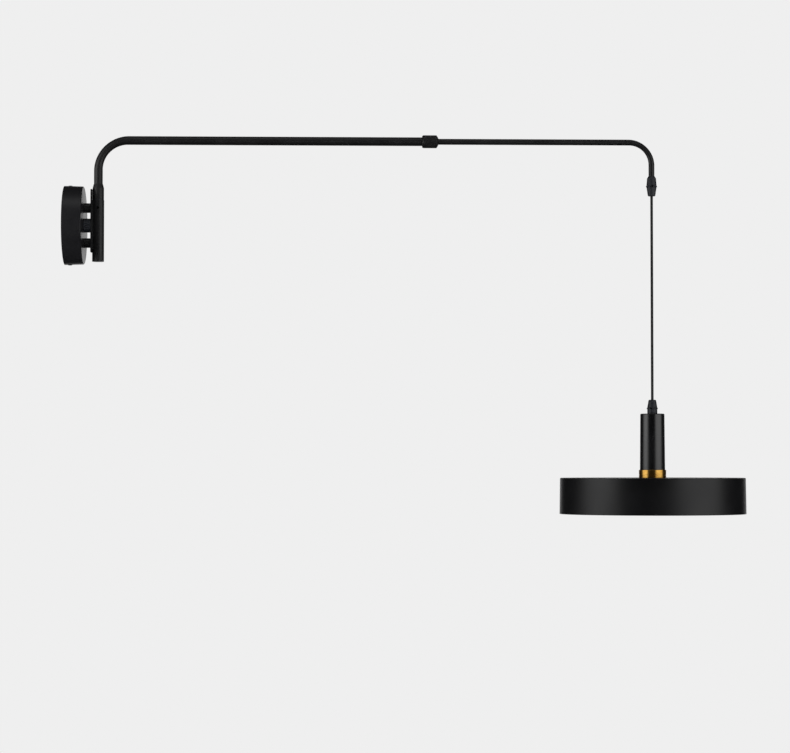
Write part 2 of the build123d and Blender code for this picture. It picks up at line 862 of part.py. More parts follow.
with BuildPart() as lock_nut:
    turn(
        [
            (lock_nut_start, nut_bore_radius),
            (lock_nut_start, lock_nut_diameter / 2 - lock_nut_back_chamfer / 2),
            (lock_nut_start + lock_nut_back_chamfer, lock_nut_diameter / 2),
            (lock_nut_end - lock_nut_nose_length, lock_nut_diameter / 2),
            (lock_nut_end, lock_nut_nose_diameter / 2),
            (lock_nut_end, nut_nose_bore_radius),
            (nut_seat_end, nut_nose_bore_radius),
            (nut_seat_end, collet_nose_radius + free_gap),
            (nut_seat_start, nut_bore_radius),
        ],
        run_plane,
        run_axis,
    )

# Thin bent tube and its slider
with BuildPart() as extension_tube:
    with BuildLine():
        FilletPolyline(
            (extension_inner_end, 0, arm_height),
            (reach, 0, arm_height),
            (reach, 0, extension_leg_end),
            radius=extension_bend_radius,
        )
    with BuildSketch(front_plane.offset(extension_inner_end)):
        with Locations((0, arm_height)):
            Circle(extension_radius)
            Circle(extension_bore_radius, mode=Mode.SUBTRACT)
    sweep()

with BuildPart() as guide_bush:
    with BuildSketch(front_plane.offset(guide_back)):
        with Locations((0, arm_height)):
            Circle(arm_bore_radius - running_gap)
            Circle(extension_radius + seat_gap, mode=Mode.SUBTRACT)
    extrude(amount=guide_bush_length)

# Cable inside the thin tube, down to the bend of the hanging cord
with BuildPart() as extension_cable:
    with BuildLine():
        FilletPolyline(
            (extension_inner_end, 0, arm_height),
            (reach, 0, arm_height),
            (reach, 0, cord_pivot_height + cord_radius + free_gap),
            radius=extension_bend_radius,
        )
    with BuildSketch(front_plane.offset(extension_inner_end)):
        with Locations((0, arm_height)):
            Circle(cord_radius)
    sweep()

# Upper cord grip: an adapter on the tube and a cone with a flared mouth
grip_screw_radius = grip_screw_diameter / 2
ridge_middle = grip_ridge_slope + grip_ridge_flat / 2
tip_screw_height = tip_end_height + tip_cone_length + ridge_middle
swing_shift = cord_pivot_depth * tan(radians(swing_angle))
mouth_radius = cord_radius / cos(radians(swing_angle)) + swing_shift + free_gap
screw_face = grip_ridge_diameter / 2 - grip_screw_sink
screw_reach = screw_face - cord_radius - running_gap

with BuildPart() as tip_adapter:
    turn(
        [
            (extension_radius + seat_gap, tip_top_height),
            (extension_radius + collar_lip, tip_top_height),
            (tip_adapter_top_diameter / 2, tip_top_height - tip_adapter_cone),
            (grip_shoulder_diameter / 2, tip_joint_height),
            (tip_spigot_diameter / 2 + seat_gap, tip_joint_height),
            (tip_spigot_diameter / 2 + seat_gap, extension_leg_end),
            (extension_radius + seat_gap, extension_leg_end),
        ],
        drop_plane,
        drop_axis,
    )

with BuildPart() as tip_grip:
    tip_outline = grip_outline(
        tip_cone_length,
        tip_grip_length,
        mouth_radius,
        cord_pivot_depth,
        cord_bore_radius,
    )
    turn([(radius, tip_end_height + along) for radius, along in tip_outline], drop_plane, drop_axis)
    add_ring(
        tip_spigot_diameter / 2,
        cord_bore_radius,
        tip_joint_height,
        tip_joint_height + tip_spigot_length,
        drop_plane,
        drop_axis,
    )
    with BuildSketch(radial_face(reach, tip_screw_height, 0, 0)):
        Circle(grip_screw_radius + seat_gap)
    extrude(amount=grip_ridge_diameter, mode=Mode.SUBTRACT)

with BuildPart() as tip_grip_screw:
    grub_screw(
        radial_face(reach, tip_screw_height, screw_face, 0),
        grip_screw_radius,
        screw_reach,
        grip_screw_socket,
        grub_socket_depth,
    )

# Hanging cord: a short stretch that bends at the mouth, and the straight drop below it
cup_radius = cord_radius + running_gap
cup_drop = cord_radius * tan(radians(swing_angle + swing_margin))
cup_edge = sqrt(cup_radius**2 - cup_drop**2)

with BuildPart() as cord_flex:
    with BuildSketch(drop_plane):
        with BuildLine():
            CenterArc((0, cord_pivot_height), cord_radius, 90, -90)
            Line((cord_radius, cord_pivot_height), (cord_radius, cord_flex_end))
            CenterArc((0, cord_flex_end), cord_radius, 0, -90)
            Line((0, cord_flex_end - cord_radius), (0, cord_pivot_height + cord_radius))
        make_face()
    revolve(axis=drop_axis)

with BuildPart() as cord_drop:
    with BuildSketch(drop_plane):
        with BuildLine():
            ThreePointArc(
                (0, cord_flex_end - cup_radius),
                (
                    cup_radius * sin(radians(swing_angle)),
                    cord_flex_end - cup_radius * cos(radians(swing_angle)),
                ),
                (cup_edge, cord_flex_end - cup_drop),
            )
            Polyline(
                (cup_edge, cord_flex_end - cup_drop),
                (cord_radius, cord_flex_end - cup_drop),
                (cord_radius, cord_end),
                (0, cord_end),
                (0, cord_flex_end - cup_radius),
            )
        make_face()
    revolve(axis=drop_axis)

# Lower cord grip on the lamp holder
holder_screw_height = holder_nose_height - holder_cone_length - ridge_middle
holder_cord_radius = cord_radius + seat_gap

with BuildPart() as holder_grip:
    holder_outline = grip_outline(
        holder_cone_length,
        holder_grip_length,
        holder_cord_radius,
        holder_nose_height - nipple_top,
        holder_cord_radius,
    )
    turn([(radius, holder_nose_height - along) for radius, along in holder_outline], drop_plane, drop_axis)
    with BuildSketch(Plane((reach, 0, holder_top), z_dir=(0, 0, 1))):
        Circle(nipple_diameter / 2 + seat_gap)
    extrude(amount=nipple_engagement + seat_gap, mode=Mode.SUBTRACT)
    with BuildSketch(radial_face(reach, holder_screw_height, 0, holder_grip_screw_turn)):
        Circle(grip_screw_radius + seat_gap)
    extrude(amount=grip_ridge_diameter, mode=Mode.SUBTRACT)

with BuildPart() as holder_grip_screw:
    grub_screw(
        radial_face(reach, holder_screw_height, screw_face, holder_grip_screw_turn),
        grip_screw_radius,
        screw_reach,
        grip_screw_socket,
        grub_socket_depth,
    )

# Threaded pipe and nut that carry the lamp holder
with BuildPart() as holder_nipple:
    add_ring(nipple_diameter / 2, nipple_bore / 2, nipple_bottom, nipple_top, drop_plane, drop_axis)

with BuildPart() as nipple_nut:
    with BuildSketch(Plane((reach, 0, holder_top - holder_wall), z_dir=(0, 0, 1))):
        RegularPolygon(nipple_nut_width / 2, 6, major_radius=False)
        Circle(nipple_diameter / 2 + seat_gap, mode=Mode.SUBTRACT)
    extrude(amount=-nipple_nut_thickness)

# Cover of the lamp holder
with BuildPart() as holder_shell:
    with BuildSketch(drop_plane) as holder_section:
        with BuildLine():
            Polyline(
                (nipple_diameter / 2 + seat_gap, holder_top),
                (holder_top_diameter / 2, holder_top),
                (holder_bottom_diameter / 2, holder_bottom),
                (holder_bottom_diameter / 2 - holder_wall, holder_bottom),
                (holder_top_diameter / 2 - holder_wall, holder_top - holder_wall),
                (nipple_diameter / 2 + seat_gap, holder_top - holder_wall),
                close=True,
            )
        make_face()
        fillet(
            holder_section.vertices().sort_by_distance((holder_top_diameter / 2, holder_top))[0],
            holder_edge_radius,
        )
    revolve(axis=drop_axis)

# Lamp socket: cap, body, screw shell, contact and terminals
chamber_radius = socket_radius - socket_cap_wall
shell_radius = socket_shell_bore / 2 + socket_shell_wall
post_places = [(-terminal_post_offset, 0), (terminal_post_offset, 0)]
post_bottom_plane = Plane((reach, 0, socket_body_top), x_dir=(1, 0, 0), z_dir=(0, 0, 1))

with BuildPart() as socket_cap:
    turn(
        [
            (socket_radius, socket_body_top),
            (socket_radius, socket_top),
            (nipple_diameter / 2 + seat_gap, socket_top),
            (nipple_diameter / 2 + seat_gap, nipple_bottom),
            (chamber_radius, nipple_bottom),
            (chamber_radius, socket_body_top),
        ],
        drop_plane,
        drop_axis,
    )

with BuildPart() as socket_body:
    turn(
        [
            (0, socket_body_top),
            (socket_radius, socket_body_top),
            (socket_radius, socket_bottom),
            (shell_radius + seat_gap, socket_bottom),
            (shell_radius + seat_gap, socket_floor),
            (0, socket_floor),
        ],
        drop_plane,
        drop_axis,
    )

with BuildPart() as socket_screw_shell:
    shell_bottom = socket_bottom + socket_shell_setback
    add_ring(
        shell_radius,
        socket_shell_bore / 2,
        shell_bottom,
        shell_bottom + socket_shell_length,
        drop_plane,
        drop_axis,
    )

with BuildPart() as socket_contact:
    with BuildSketch(Plane((reach, 0, socket_floor), z_dir=(0, 0, 1))):
        Circle(socket_contact_diameter / 2)
    extrude(amount=-socket_contact_thickness)

with BuildPart() as socket_terminals:
    with BuildSketch(post_bottom_plane):
        with Locations(*post_places):
            Rectangle(terminal_post_size, terminal_post_size)
    extrude(amount=terminal_post_height)
    with BuildSketch(post_bottom_plane.offset(terminal_post_height)):
        with Locations(*post_places):
            Circle(lead_diameter / 2 + hole_gap)
    extrude(amount=-terminal_post_bore_depth, mode=Mode.SUBTRACT)

# Leads from the end of the cord through the pipe to the socket's terminals
post_top = socket_body_top + terminal_post_height
lead_drop_end = post_top - terminal_post_bore_depth + seat_gap
lead_turn_height = nipple_bottom - seat_gap
lead_landing = post_top + lead_bend_radius

with BuildPart() as socket_lead_live:
    with BuildLine() as socket_live_route:
        FilletPolyline(
            (reach - lead_offset, 0, cord_end),
            (reach - lead_offset, 0, lead_turn_height),
            (reach - terminal_post_offset, 0, lead_landing),
            (reach - terminal_post_offset, 0, lead_drop_end),
            radius=lead_bend_radius,
        )
    with BuildSketch(Plane(socket_live_route.line @ 0, z_dir=socket_live_route.line % 0)):
        Circle(lead_diameter / 2)
    sweep()

with BuildPart() as socket_lead_neutral:
    with BuildLine() as socket_neutral_route:
        FilletPolyline(
            (reach + lead_offset, 0, cord_end),
            (reach + lead_offset, 0, lead_turn_height),
            (reach + terminal_post_offset, 0, lead_landing),
            (reach + terminal_post_offset, 0, lead_drop_end),
            radius=lead_bend_radius,
        )
    with BuildSketch(Plane(socket_neutral_route.line @ 0, z_dir=socket_neutral_route.line % 0)):
        Circle(lead_diameter / 2)
    sweep()

# Brass ring on top of the shade, with a seat for the cover
brass_radius = brass_ring_diameter / 2
cover_seat_radius = holder_bottom_diameter / 2 + seat_gap
groove_bottom = shade_top + brass_groove_height
groove_top = groove_bottom + brass_groove_width

with BuildPart() as shade_ring:
    turn(
        [
            (neck_radius, shade_top),
            (brass_radius, shade_top),
            (brass_radius, groove_bottom),
            (brass_radius - brass_groove_depth, groove_bottom),
            (brass_radius - brass_groove_depth, groove_top),
            (brass_radius, groove_top),
            (brass_radius, brass_ring_top),
            (cover_seat_radius, brass_ring_top),
            (cover_seat_radius, holder_bottom),
            (neck_radius, holder_bottom),
        ],
        drop_plane,
        drop_axis,
    )

# Drum shade, open below
with BuildPart() as shade:
    with BuildSketch(drop_plane) as shade_section:
        with BuildLine():
            Polyline(
                (neck_radius, shade_top),
                (shade_top_diameter / 2, shade_top),
                (shade_diameter / 2, shade_bottom),
                (shade_diameter / 2 - shade_wall, shade_bottom),
                (shade_top_diameter / 2 - shade_wall, shade_ceiling),
                (neck_radius, shade_ceiling),
                close=True,
            )
        make_face()
        fillet(
            shade_section.vertices().sort_by_distance((shade_top_diameter / 2, shade_top))[0],
            shade_edge_radius,
        )
    revolve(axis=drop_axis)

# Ring nut on the socket's thread, which clamps the shade
with BuildPart() as shade_ring_nut:
    with BuildSketch(Plane((reach, 0, shade_ceiling), x_dir=(1, 0, 0), z_dir=(0, 0, 1))):
        Circle(ring_nut_diameter / 2)
        Circle(socket_radius + seat_gap, mode=Mode.SUBTRACT)
        with PolarLocations(ring_nut_diameter / 2, ring_nut_notch_count):
            Rectangle(2 * ring_nut_notch_depth, ring_nut_notch_width, mode=Mode.SUBTRACT)
    extrude(amount=-ring_nut_height)

# Bulb: contact, screw cap, housing and globe
with BuildPart() as bulb_contact:
    with BuildSketch(Plane((reach, 0, bulb_tip), z_dir=(0, 0, 1))):
        Circle(bulb_contact_diameter / 2)
    extrude(amount=-bulb_contact_height)

with BuildPart() as bulb_cap:
    with BuildSketch(Plane((reach, 0, bulb_cap_top), z_dir=(0, 0, 1))):
        Circle(bulb_cap_diameter / 2)
    extrude(amount=-bulb_cap_length)
    chamfer(bulb_cap.edges().group_by(Axis.Z)[-1], bulb_contact_height)

with BuildPart() as bulb_housing:
    neck_bottom = bulb_cap_bottom - bulb_neck_length
    turn(
        [
            (0, bulb_rim),
            (0, bulb_cap_bottom),
            (bulb_neck_diameter / 2, bulb_cap_bottom),
            (bulb_neck_diameter / 2, neck_bottom),
            (bulb_rim_radius, bulb_rim),
        ],
        drop_plane,
        drop_axis,
    )

with BuildPart() as bulb_globe:
    with Locations((reach, 0, bulb_centre)):
        Sphere(bulb_radius)
        Sphere(bulb_radius - bulb_globe_wall, mode=Mode.SUBTRACT)
    split(bisect_by=Plane.XY.offset(bulb_rim), keep=Keep.BOTTOM)

# One file for each piece
pieces = {
    "wall_strap": wall_strap,
    "canopy": canopy,
    "canopy_screws": canopy_screws,
    "bracket_standoffs": bracket_standoffs,
    "standoff_washers": standoff_washers,
    "standoff_screws": standoff_screws,
    "cable_bush": cable_bush,
    "bush_nut": bush_nut,
    "bracket_bar": bracket_bar,
    "pivot_sleeve": pivot_sleeve,
    "upper_bush": upper_bush,
    "lower_bush": lower_bush,
    "friction_screw": friction_screw,
    "sleeve_plug": sleeve_plug,
    "terminal_block": terminal_block,
    "terminal_sleeves": terminal_sleeves,
    "terminal_screws": terminal_screws,
    "terminal_fixing_screws": terminal_fixing_screws,
    "earth_tag": earth_tag,
    "earth_screw": earth_screw,
    "feed_cable": feed_cable,
    "lead_live": lead_live,
    "lead_neutral": lead_neutral,
    "lead_earth": lead_earth,
    "arm_tube": arm_tube,
    "swivel_collar": swivel_collar,
    "collar_screw": collar_screw,
    "leg_retainer": leg_retainer,
    "arm_cable": arm_cable,
    "lock_ferrule": lock_ferrule,
    "lock_collet": lock_collet,
    "lock_nut": lock_nut,
    "extension_tube": extension_tube,
    "guide_bush": guide_bush,
    "extension_cable": extension_cable,
    "tip_adapter": tip_adapter,
    "tip_grip": tip_grip,
    "tip_grip_screw": tip_grip_screw,
    "cord_flex": cord_flex,
    "cord_drop": cord_drop,
    "holder_grip": holder_grip,
    "holder_grip_screw": holder_grip_screw,
    "holder_nipple": holder_nipple,
    "nipple_nut": nipple_nut,
    "holder_shell": holder_shell,
    "socket_cap": socket_cap,
    "socket_body": socket_body,
    "socket_screw_shell": socket_screw_shell,
    "socket_contact": socket_contact,
    "socket_terminals": socket_terminals,
    "socket_lead_live": socket_lead_live,
    "socket_lead_neutral": socket_lead_neutral,
    "shade_ring": shade_ring,
    "shade": shade,
    "shade_ring_nut": shade_ring_nut,
    "bulb_contact": bulb_contact,
    "bulb_cap": bulb_cap,
    "bulb_housing": bulb_housing,
    "bulb_globe": bulb_globe,
}

os.makedirs("parts", exist_ok=True)
for name, piece in pieces.items():
    piece.part.label = name
    export_step(piece.part, f"parts/{name}.step")
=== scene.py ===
import json
from collections import namedtuple
from math import cos, pi, radians, sin, sqrt, tan

import bmesh
import bpy
import numpy as np
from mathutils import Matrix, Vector


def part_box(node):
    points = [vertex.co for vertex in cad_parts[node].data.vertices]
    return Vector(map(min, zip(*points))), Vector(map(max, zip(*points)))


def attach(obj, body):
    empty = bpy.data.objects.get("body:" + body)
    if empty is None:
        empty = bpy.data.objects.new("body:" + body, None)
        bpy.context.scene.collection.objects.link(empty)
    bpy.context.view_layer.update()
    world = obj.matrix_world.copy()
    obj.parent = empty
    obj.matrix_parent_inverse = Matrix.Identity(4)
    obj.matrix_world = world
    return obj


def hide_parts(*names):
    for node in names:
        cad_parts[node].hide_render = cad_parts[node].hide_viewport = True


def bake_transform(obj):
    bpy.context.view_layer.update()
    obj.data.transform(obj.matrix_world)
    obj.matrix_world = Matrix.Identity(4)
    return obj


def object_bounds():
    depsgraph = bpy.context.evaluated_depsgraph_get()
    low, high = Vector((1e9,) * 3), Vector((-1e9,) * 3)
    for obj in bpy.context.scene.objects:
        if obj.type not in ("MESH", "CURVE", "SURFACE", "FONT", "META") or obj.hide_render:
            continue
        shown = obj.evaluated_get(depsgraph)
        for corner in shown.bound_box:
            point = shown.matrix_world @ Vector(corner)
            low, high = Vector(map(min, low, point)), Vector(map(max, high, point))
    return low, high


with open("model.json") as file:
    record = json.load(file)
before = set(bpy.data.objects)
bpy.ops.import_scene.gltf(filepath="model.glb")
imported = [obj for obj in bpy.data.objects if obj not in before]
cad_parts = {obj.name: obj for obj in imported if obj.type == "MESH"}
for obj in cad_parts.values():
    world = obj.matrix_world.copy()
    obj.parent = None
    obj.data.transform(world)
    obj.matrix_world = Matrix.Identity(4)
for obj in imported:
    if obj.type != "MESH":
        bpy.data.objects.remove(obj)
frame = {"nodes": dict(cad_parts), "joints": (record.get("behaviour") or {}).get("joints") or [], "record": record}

cad_box = [list(corner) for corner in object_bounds()]

bl_info = {
    "name": "Long-arm wall light",
    "version": (1, 0, 0),
    "blender": (4, 5, 0),
    "location": "3D View > Sidebar > Wall light",
    "description": "Dresses the solid model of a long-arm wall light with finished pieces and a studio stage",
    "category": "Object",
}

MM = 0.001
ALONG_X = np.array([1.0, 0.0, 0.0])
ALONG_Y = np.array([0.0, 1.0, 0.0])
ALONG_Z = np.array([0.0, 0.0, 1.0])
ORIGIN = np.zeros(3)

# Steps of an arc at each rounded corner, the largest share of a side that one arc takes, and the angle above
# which an edge stays sharp
ARC_STEPS = 6
ARC_SHARE = 0.49
SHARP_ANGLE = radians(34)
MERGE_DISTANCE = 1e-6

# Points round a piece: the cord, weld beads, small and middling turned pieces, large drums, and pieces with
# flutes or a knurl
ROUND_CORD = 24
ROUND_WELD = 16
ROUND_SMALL = 72
ROUND_MIDDLE = 144
ROUND_LARGE = 224
ROUND_FLUTED = 360

# Steps along the cord, a bend, a weld bead and the bulb's globe
CORD_STEPS = 96
BEND_STEPS = 40
WELD_STEPS = 240
GLOBE_STEPS = 48

# How much the weld's ripples swell it, and the power that keeps it full almost to its ends
WELD_SWELL = 0.1
WELD_FULLNESS = 60


def linear(hex_colour):
    """Linear red, green and blue of an sRGB hex value."""
    value = np.array([int(hex_colour[i : i + 2], 16) for i in (1, 3, 5)]) / 255
    return np.where(value <= 0.04045, value / 12.92, ((value + 0.055) / 1.055) ** 2.4).tolist()


def length(name, millimetres, description):
    """A length property, given in millimetres and kept in metres."""
    return bpy.props.FloatProperty(
        name=name, description=description, default=millimetres * MM, unit="LENGTH", precision=5
    )


def colour(name, hex_colour, description):
    """A colour property, given as an sRGB hex value and kept linear."""
    return bpy.props.FloatVectorProperty(
        name=name, description=description, default=linear(hex_colour), subtype="COLOR", min=0, max=1
    )


class WallLightSizes(bpy.types.PropertyGroup):
    """Sizes that the solid model's boxes don't give"""

    edge: length("Edge", 0.4, "Round on the edges of turned steel and brass")
    canopy_taper: length("Canopy taper", 0.8, "How much smaller the canopy's front radius is than its rim")
    canopy_wall: length("Canopy wall", 1.2, "Thickness of the canopy's sheet")
    canopy_edge: length("Canopy edge", 1.5, "Outer radius of the canopy's pressed front edge")
    spacer_bore: length("Spacer bore", 2.75, "Radius of the screw hole in each spacer")
    bush_spigot: length("Bush spigot", 6.5, "Radius of the middle bush's threaded spigot")
    bush_nose: length("Bush nose", 4.5, "Radius of the middle bush where it enters the bar")
    bush_bore: length("Bush bore", 2.45, "Radius of the cable hole in the middle bush")
    bush_rim: length("Bush rim", 1.4, "Plain rim at each end of the bush's flutes")
    flute_depth: length("Flute depth", 0.5, "Depth of the flutes along the middle bush")
    flutes: bpy.props.IntProperty(name="Flutes", description="Flutes round the middle bush", default=14)
    bar_corner: length("Bar corner", 4.0, "Corner radius of the flat bar")
    sleeve_wall: length("Sleeve wall", 1.5, "Wall of the pivot sleeve")
    weld_bead: length("Weld bead", 0.9, "Radius of the weld between sleeve and bar")
    weld_ripple: length("Weld ripple", 2.4, "Distance between two ripples of the weld")
    collar_cone: length("Collar cone", 6.5, "Height of the collar's conical shoulder")
    collar_lip: length("Collar lip", 0.4, "Thickness of the collar's upper edge")
    fit_gap: length("Fit gap", 0.05, "Radial gap between a piece and what it sits on")
    cord_gap: length("Cord gap", 0.3, "Radial gap between the cord and the upper grip")
    arm_wall: length("Arm wall", 1.0, "Wall of the thick tube")
    arm_bend: length("Arm bend", 48.5, "Bend radius of the thick tube, at its middle")
    extension_wall: length("Extension wall", 0.9, "Wall of the thin tube")
    extension_bend: length("Extension bend", 37.0, "Bend radius of the thin tube, at its middle")
    bend_flattening: bpy.props.FloatProperty(
        name="Bend flattening", description="How much of its height a tube has lost in the middle of a bend",
        default=0.08, subtype="FACTOR",
    )
    nut_chamfer: length("Nut chamfer", 2.0, "Length of the bevel at the back of the lock nut")
    nut_nose: length("Nut nose", 2.7, "Length of the lock nut's conical nose")
    nut_nose_radius: length("Nut nose radius", 6.0, "Radius at the tip of the lock nut's nose")
    nut_bore: length("Nut bore", 8.6, "Radius of the lock nut's thread")
    nut_throat: length("Nut throat", 5.05, "Radius of the hole for the thin tube")
    nut_front_wall: length("Nut front wall", 2.5, "Thickness of the lock nut's front wall")
    nut_seat: length("Nut seat", 3.5, "Length of the cone that presses the collet")
    knurl_depth: length("Knurl depth", 0.3, "Depth of the lock nut's straight knurl")
    knurl_margin: length("Knurl margin", 2.6, "Plain band at each end of the knurl")
    knurls: bpy.props.IntProperty(name="Knurls", description="Ridges round the lock nut", default=60)
    grip_nose: length("Grip nose", 5.95, "Radius of a cord grip at its nose")
    grip_nose_round: length("Grip nose round", 1.6, "Round at a cord grip's nose")
    grip_shoulder: length("Grip shoulder", 8.1, "Radius of a cord grip at its wide end")
    grip_slope: length("Grip slope", 0.9, "Length of each slope of the ridge")
    grip_flat: length("Grip flat", 1.0, "Length of the flat on the ridge")
    tip_cone: length("Tip cone", 14.4, "Length of the upper grip's cone")
    tip_grip_length: length("Tip grip length", 18.4, "Length of the upper grip without its spigot")
    tip_spigot: length("Tip spigot", 5.4, "Radius of the upper grip's spigot")
    adapter_cone: length("Adapter cone", 3.4, "Height of the sloped top of the tip adapter")
    adapter_top: length("Adapter top", 7.25, "Radius of the tip adapter below its sloped top")
    mouth_depth: length("Mouth depth", 2.0, "Depth of the flared mouth of the upper grip")
    holder_cone: length("Holder cone", 12.6, "Length of the lower grip's cone")
    nipple_radius: length("Pipe radius", 5.0, "Radius of the threaded pipe under the lower grip")
    nipple_engagement: length("Pipe engagement", 4.4, "How far the pipe enters the lower grip")
    screw_gap: length("Screw gap", 0.05, "Gap between a set screw and its hole")
    cord_diameter: length("Cord diameter", 4.3, "Diameter of the hanging cord")
    cover_taper: length("Cover taper", 0.8, "How much smaller the lamp holder cover is at its top")
    cover_wall: length("Cover wall", 1.0, "Wall of the lamp holder cover")
    cover_edge: length("Cover edge", 1.5, "Round at the top of the lamp holder cover")
    neck_radius: length("Neck radius", 18.25, "Radius of the hole in the shade and the brass ring")
    ring_seat: length("Ring seat", 3.0, "Depth of the seat for the cover in the brass ring")
    groove_height: length("Groove height", 4.2, "Height of the groove above the brass ring's foot")
    groove_width: length("Groove width", 0.8, "Width of the groove in the brass ring")
    groove_depth: length("Groove depth", 0.5, "Depth of the groove in the brass ring")
    shade_taper: length("Shade taper", 0.8, "How much smaller the shade is at its top")
    shade_wall: length("Shade wall", 0.8, "Thickness of the shade's sheet")
    shade_edge: length("Shade edge", 1.5, "Round at the shade's upper edge")
    hem_height: length("Hem height", 4.0, "Height of the folded hem inside the shade's lower edge")
    bulb_neck: length("Bulb neck", 12.8, "Radius of the bulb's neck")
    bulb_neck_length: length("Bulb neck length", 4.0, "Height of the bulb's neck")
    bulb_round: length("Bulb round", 4.0, "Round where the bulb widens below its neck")
    bulb_wall: length("Bulb wall", 1.0, "Wall of the bulb's globe")


# A finish: its two colours, roughness from and to, grain size, bump height and cloud size in millimetres,
# shader inputs that it sets, the stretch of its grain, the coordinates that the grain follows, and half the
# width of a stripe in millimetres. Grain finer than about 0.5 mm is drawn that coarse, so that it shows.
Finish = namedtuple(
    "Finish", "colours roughness grain bump cloud inputs stretch coordinate stripe",
    defaults=({}, (1.0, 1.0, 1.0), "Object", None),
)
METAL = {"Metallic": 1.0}
SPECULAR = "Specular IOR Level"
FINISHES = {
    # Powder coat on tubes and bracket: a soft matt black with a fine orange peel that breaks up highlights
    "powder_coat_black": Finish(("#121213", "#171718"), (0.42, 0.5), 0.9, 0.03, 30),
    # Satin powder coat on the pressed canopy: even grey-black that turns pale where it is seen edge-on
    "satin_coat_black": Finish(("#1B1B1D", "#1F1F21"), (0.3, 0.36), 1.1, 0.015, 40, {SPECULAR: 0.3}),
    # Smooth powder coat on the spun shade: deep black, broad soft highlights, hardly any peel
    "smooth_coat_black": Finish(("#060607", "#0B0B0D"), (0.34, 0.4), 1.8, 0.02, 60, {SPECULAR: 0.4}),
    # Glossier black lacquer on the lamp holder cover: clear upright highlights beside a black middle
    "lacquer_black": Finish(("#060607", "#0B0B0D"), (0.24, 0.29), 2.2, 0.01, 40, {SPECULAR: 0.8}),
    # Baked enamel: clean warm white that throws the light down, faintly wavy
    "enamel_white": Finish(("#F1EFE9", "#ECE9E1"), (0.38, 0.46), 2.0, 0.006, 80),
    # Moulded nylon, spark-eroded mould: bluish black, dull, with an even fine grain
    "moulded_nylon_black": Finish(("#1B1D23", "#22242A"), (0.46, 0.56), 0.5, 0.03, 8),
    # Extruded PVC sheath: matt black with faint lines drawn along the cord
    "pvc_sheath_black": Finish(
        ("#121313", "#191A1A"), (0.5, 0.62), 0.5, 0.006, 12, stretch=(1.0, 0.03, 1.0), coordinate="UV"
    ),
    # Brass turned on a lathe and lightly buffed: warm gold with fine rings round the axis
    "turned_brass": Finish(("#D4A855", "#C39347"), (0.16, 0.24), 0.5, 0.003, 10, METAL, (0.04, 0.04, 1.0)),
    # Zinc plate on pressed steel: cool grey, softly clouded, with rolling marks along the sheet
    "zinc_plate": Finish(("#B7BABE", "#AFB1AE"), (0.32, 0.42), 0.5, 0.006, 9, METAL, (1.0, 1.0, 0.06)),
    # Black oxide on steel: dark, slightly oily, browner in places
    "black_oxide": Finish(("#1C1C1F", "#26241F"), (0.36, 0.48), 0.5, 0.006, 1.5, METAL),
    # Natural nylon: ivory, a little see-through, dull
    "nylon_ivory": Finish(("#DAD4C3", "#CFC7B2"), (0.42, 0.52), 0.7, 0.01, 6, {"Subsurface Weight": 0.25}),
    # Lead insulation, extruded PVC: strong plain colour with a soft shine
    "pvc_brown": Finish(("#5A3420", "#4D2B1A"), (0.34, 0.44), 0.6, 0.01, 4),
    "pvc_blue": Finish(("#2A4E9C", "#234386"), (0.34, 0.44), 0.6, 0.01, 4),
    # Earth lead: green with a yellow stripe along the side that faces out
    "pvc_green_yellow": Finish(("#3E8731", "#D8C42C"), (0.34, 0.44), 0.6, 0.01, 4, stripe=0.42),
    # Glazed steatite: creamy white under a clear glaze
    "glazed_steatite": Finish(("#EFEBE1", "#E4DFD2"), (0.2, 0.3), 1.5, 0.01, 10, {"Coat Weight": 0.5}),
    # Nickel plate: bright, slightly warm metal
    "nickel_plate": Finish(("#C9C5BC", "#BBB5A9"), (0.16, 0.26), 0.6, 0.003, 8, METAL),
    # Moulded polycarbonate: plain white, soft shine
    "polycarbonate_white": Finish(("#ECECEA", "#E4E3DF"), (0.34, 0.42), 0.8, 0.006, 15),
    # Opal diffuser: milky, light spreads inside it
    "polycarbonate_opal": Finish(
        ("#F3F0E8", "#ECE7DA"), (0.3, 0.36), 1.2, 0.003, 20, {"Subsurface Weight": 0.5}
    ),
}
# What the two colours of a finish are
COLOUR_PARTS = {"colour": "Main colour", "tint": "Colour of the clouds or the stripe"}


class WallLightColours(bpy.types.PropertyGroup):
    """Two colours of each finish"""

    __annotations__ = {
        f"{name}_{part}": colour(f"{name} {part}".replace("_", " ").capitalize(), value, f"{what} of {name}")
        for name, row in FINISHES.items()
        for (part, what), value in zip(COLOUR_PARTS.items(), row.colours)
    }


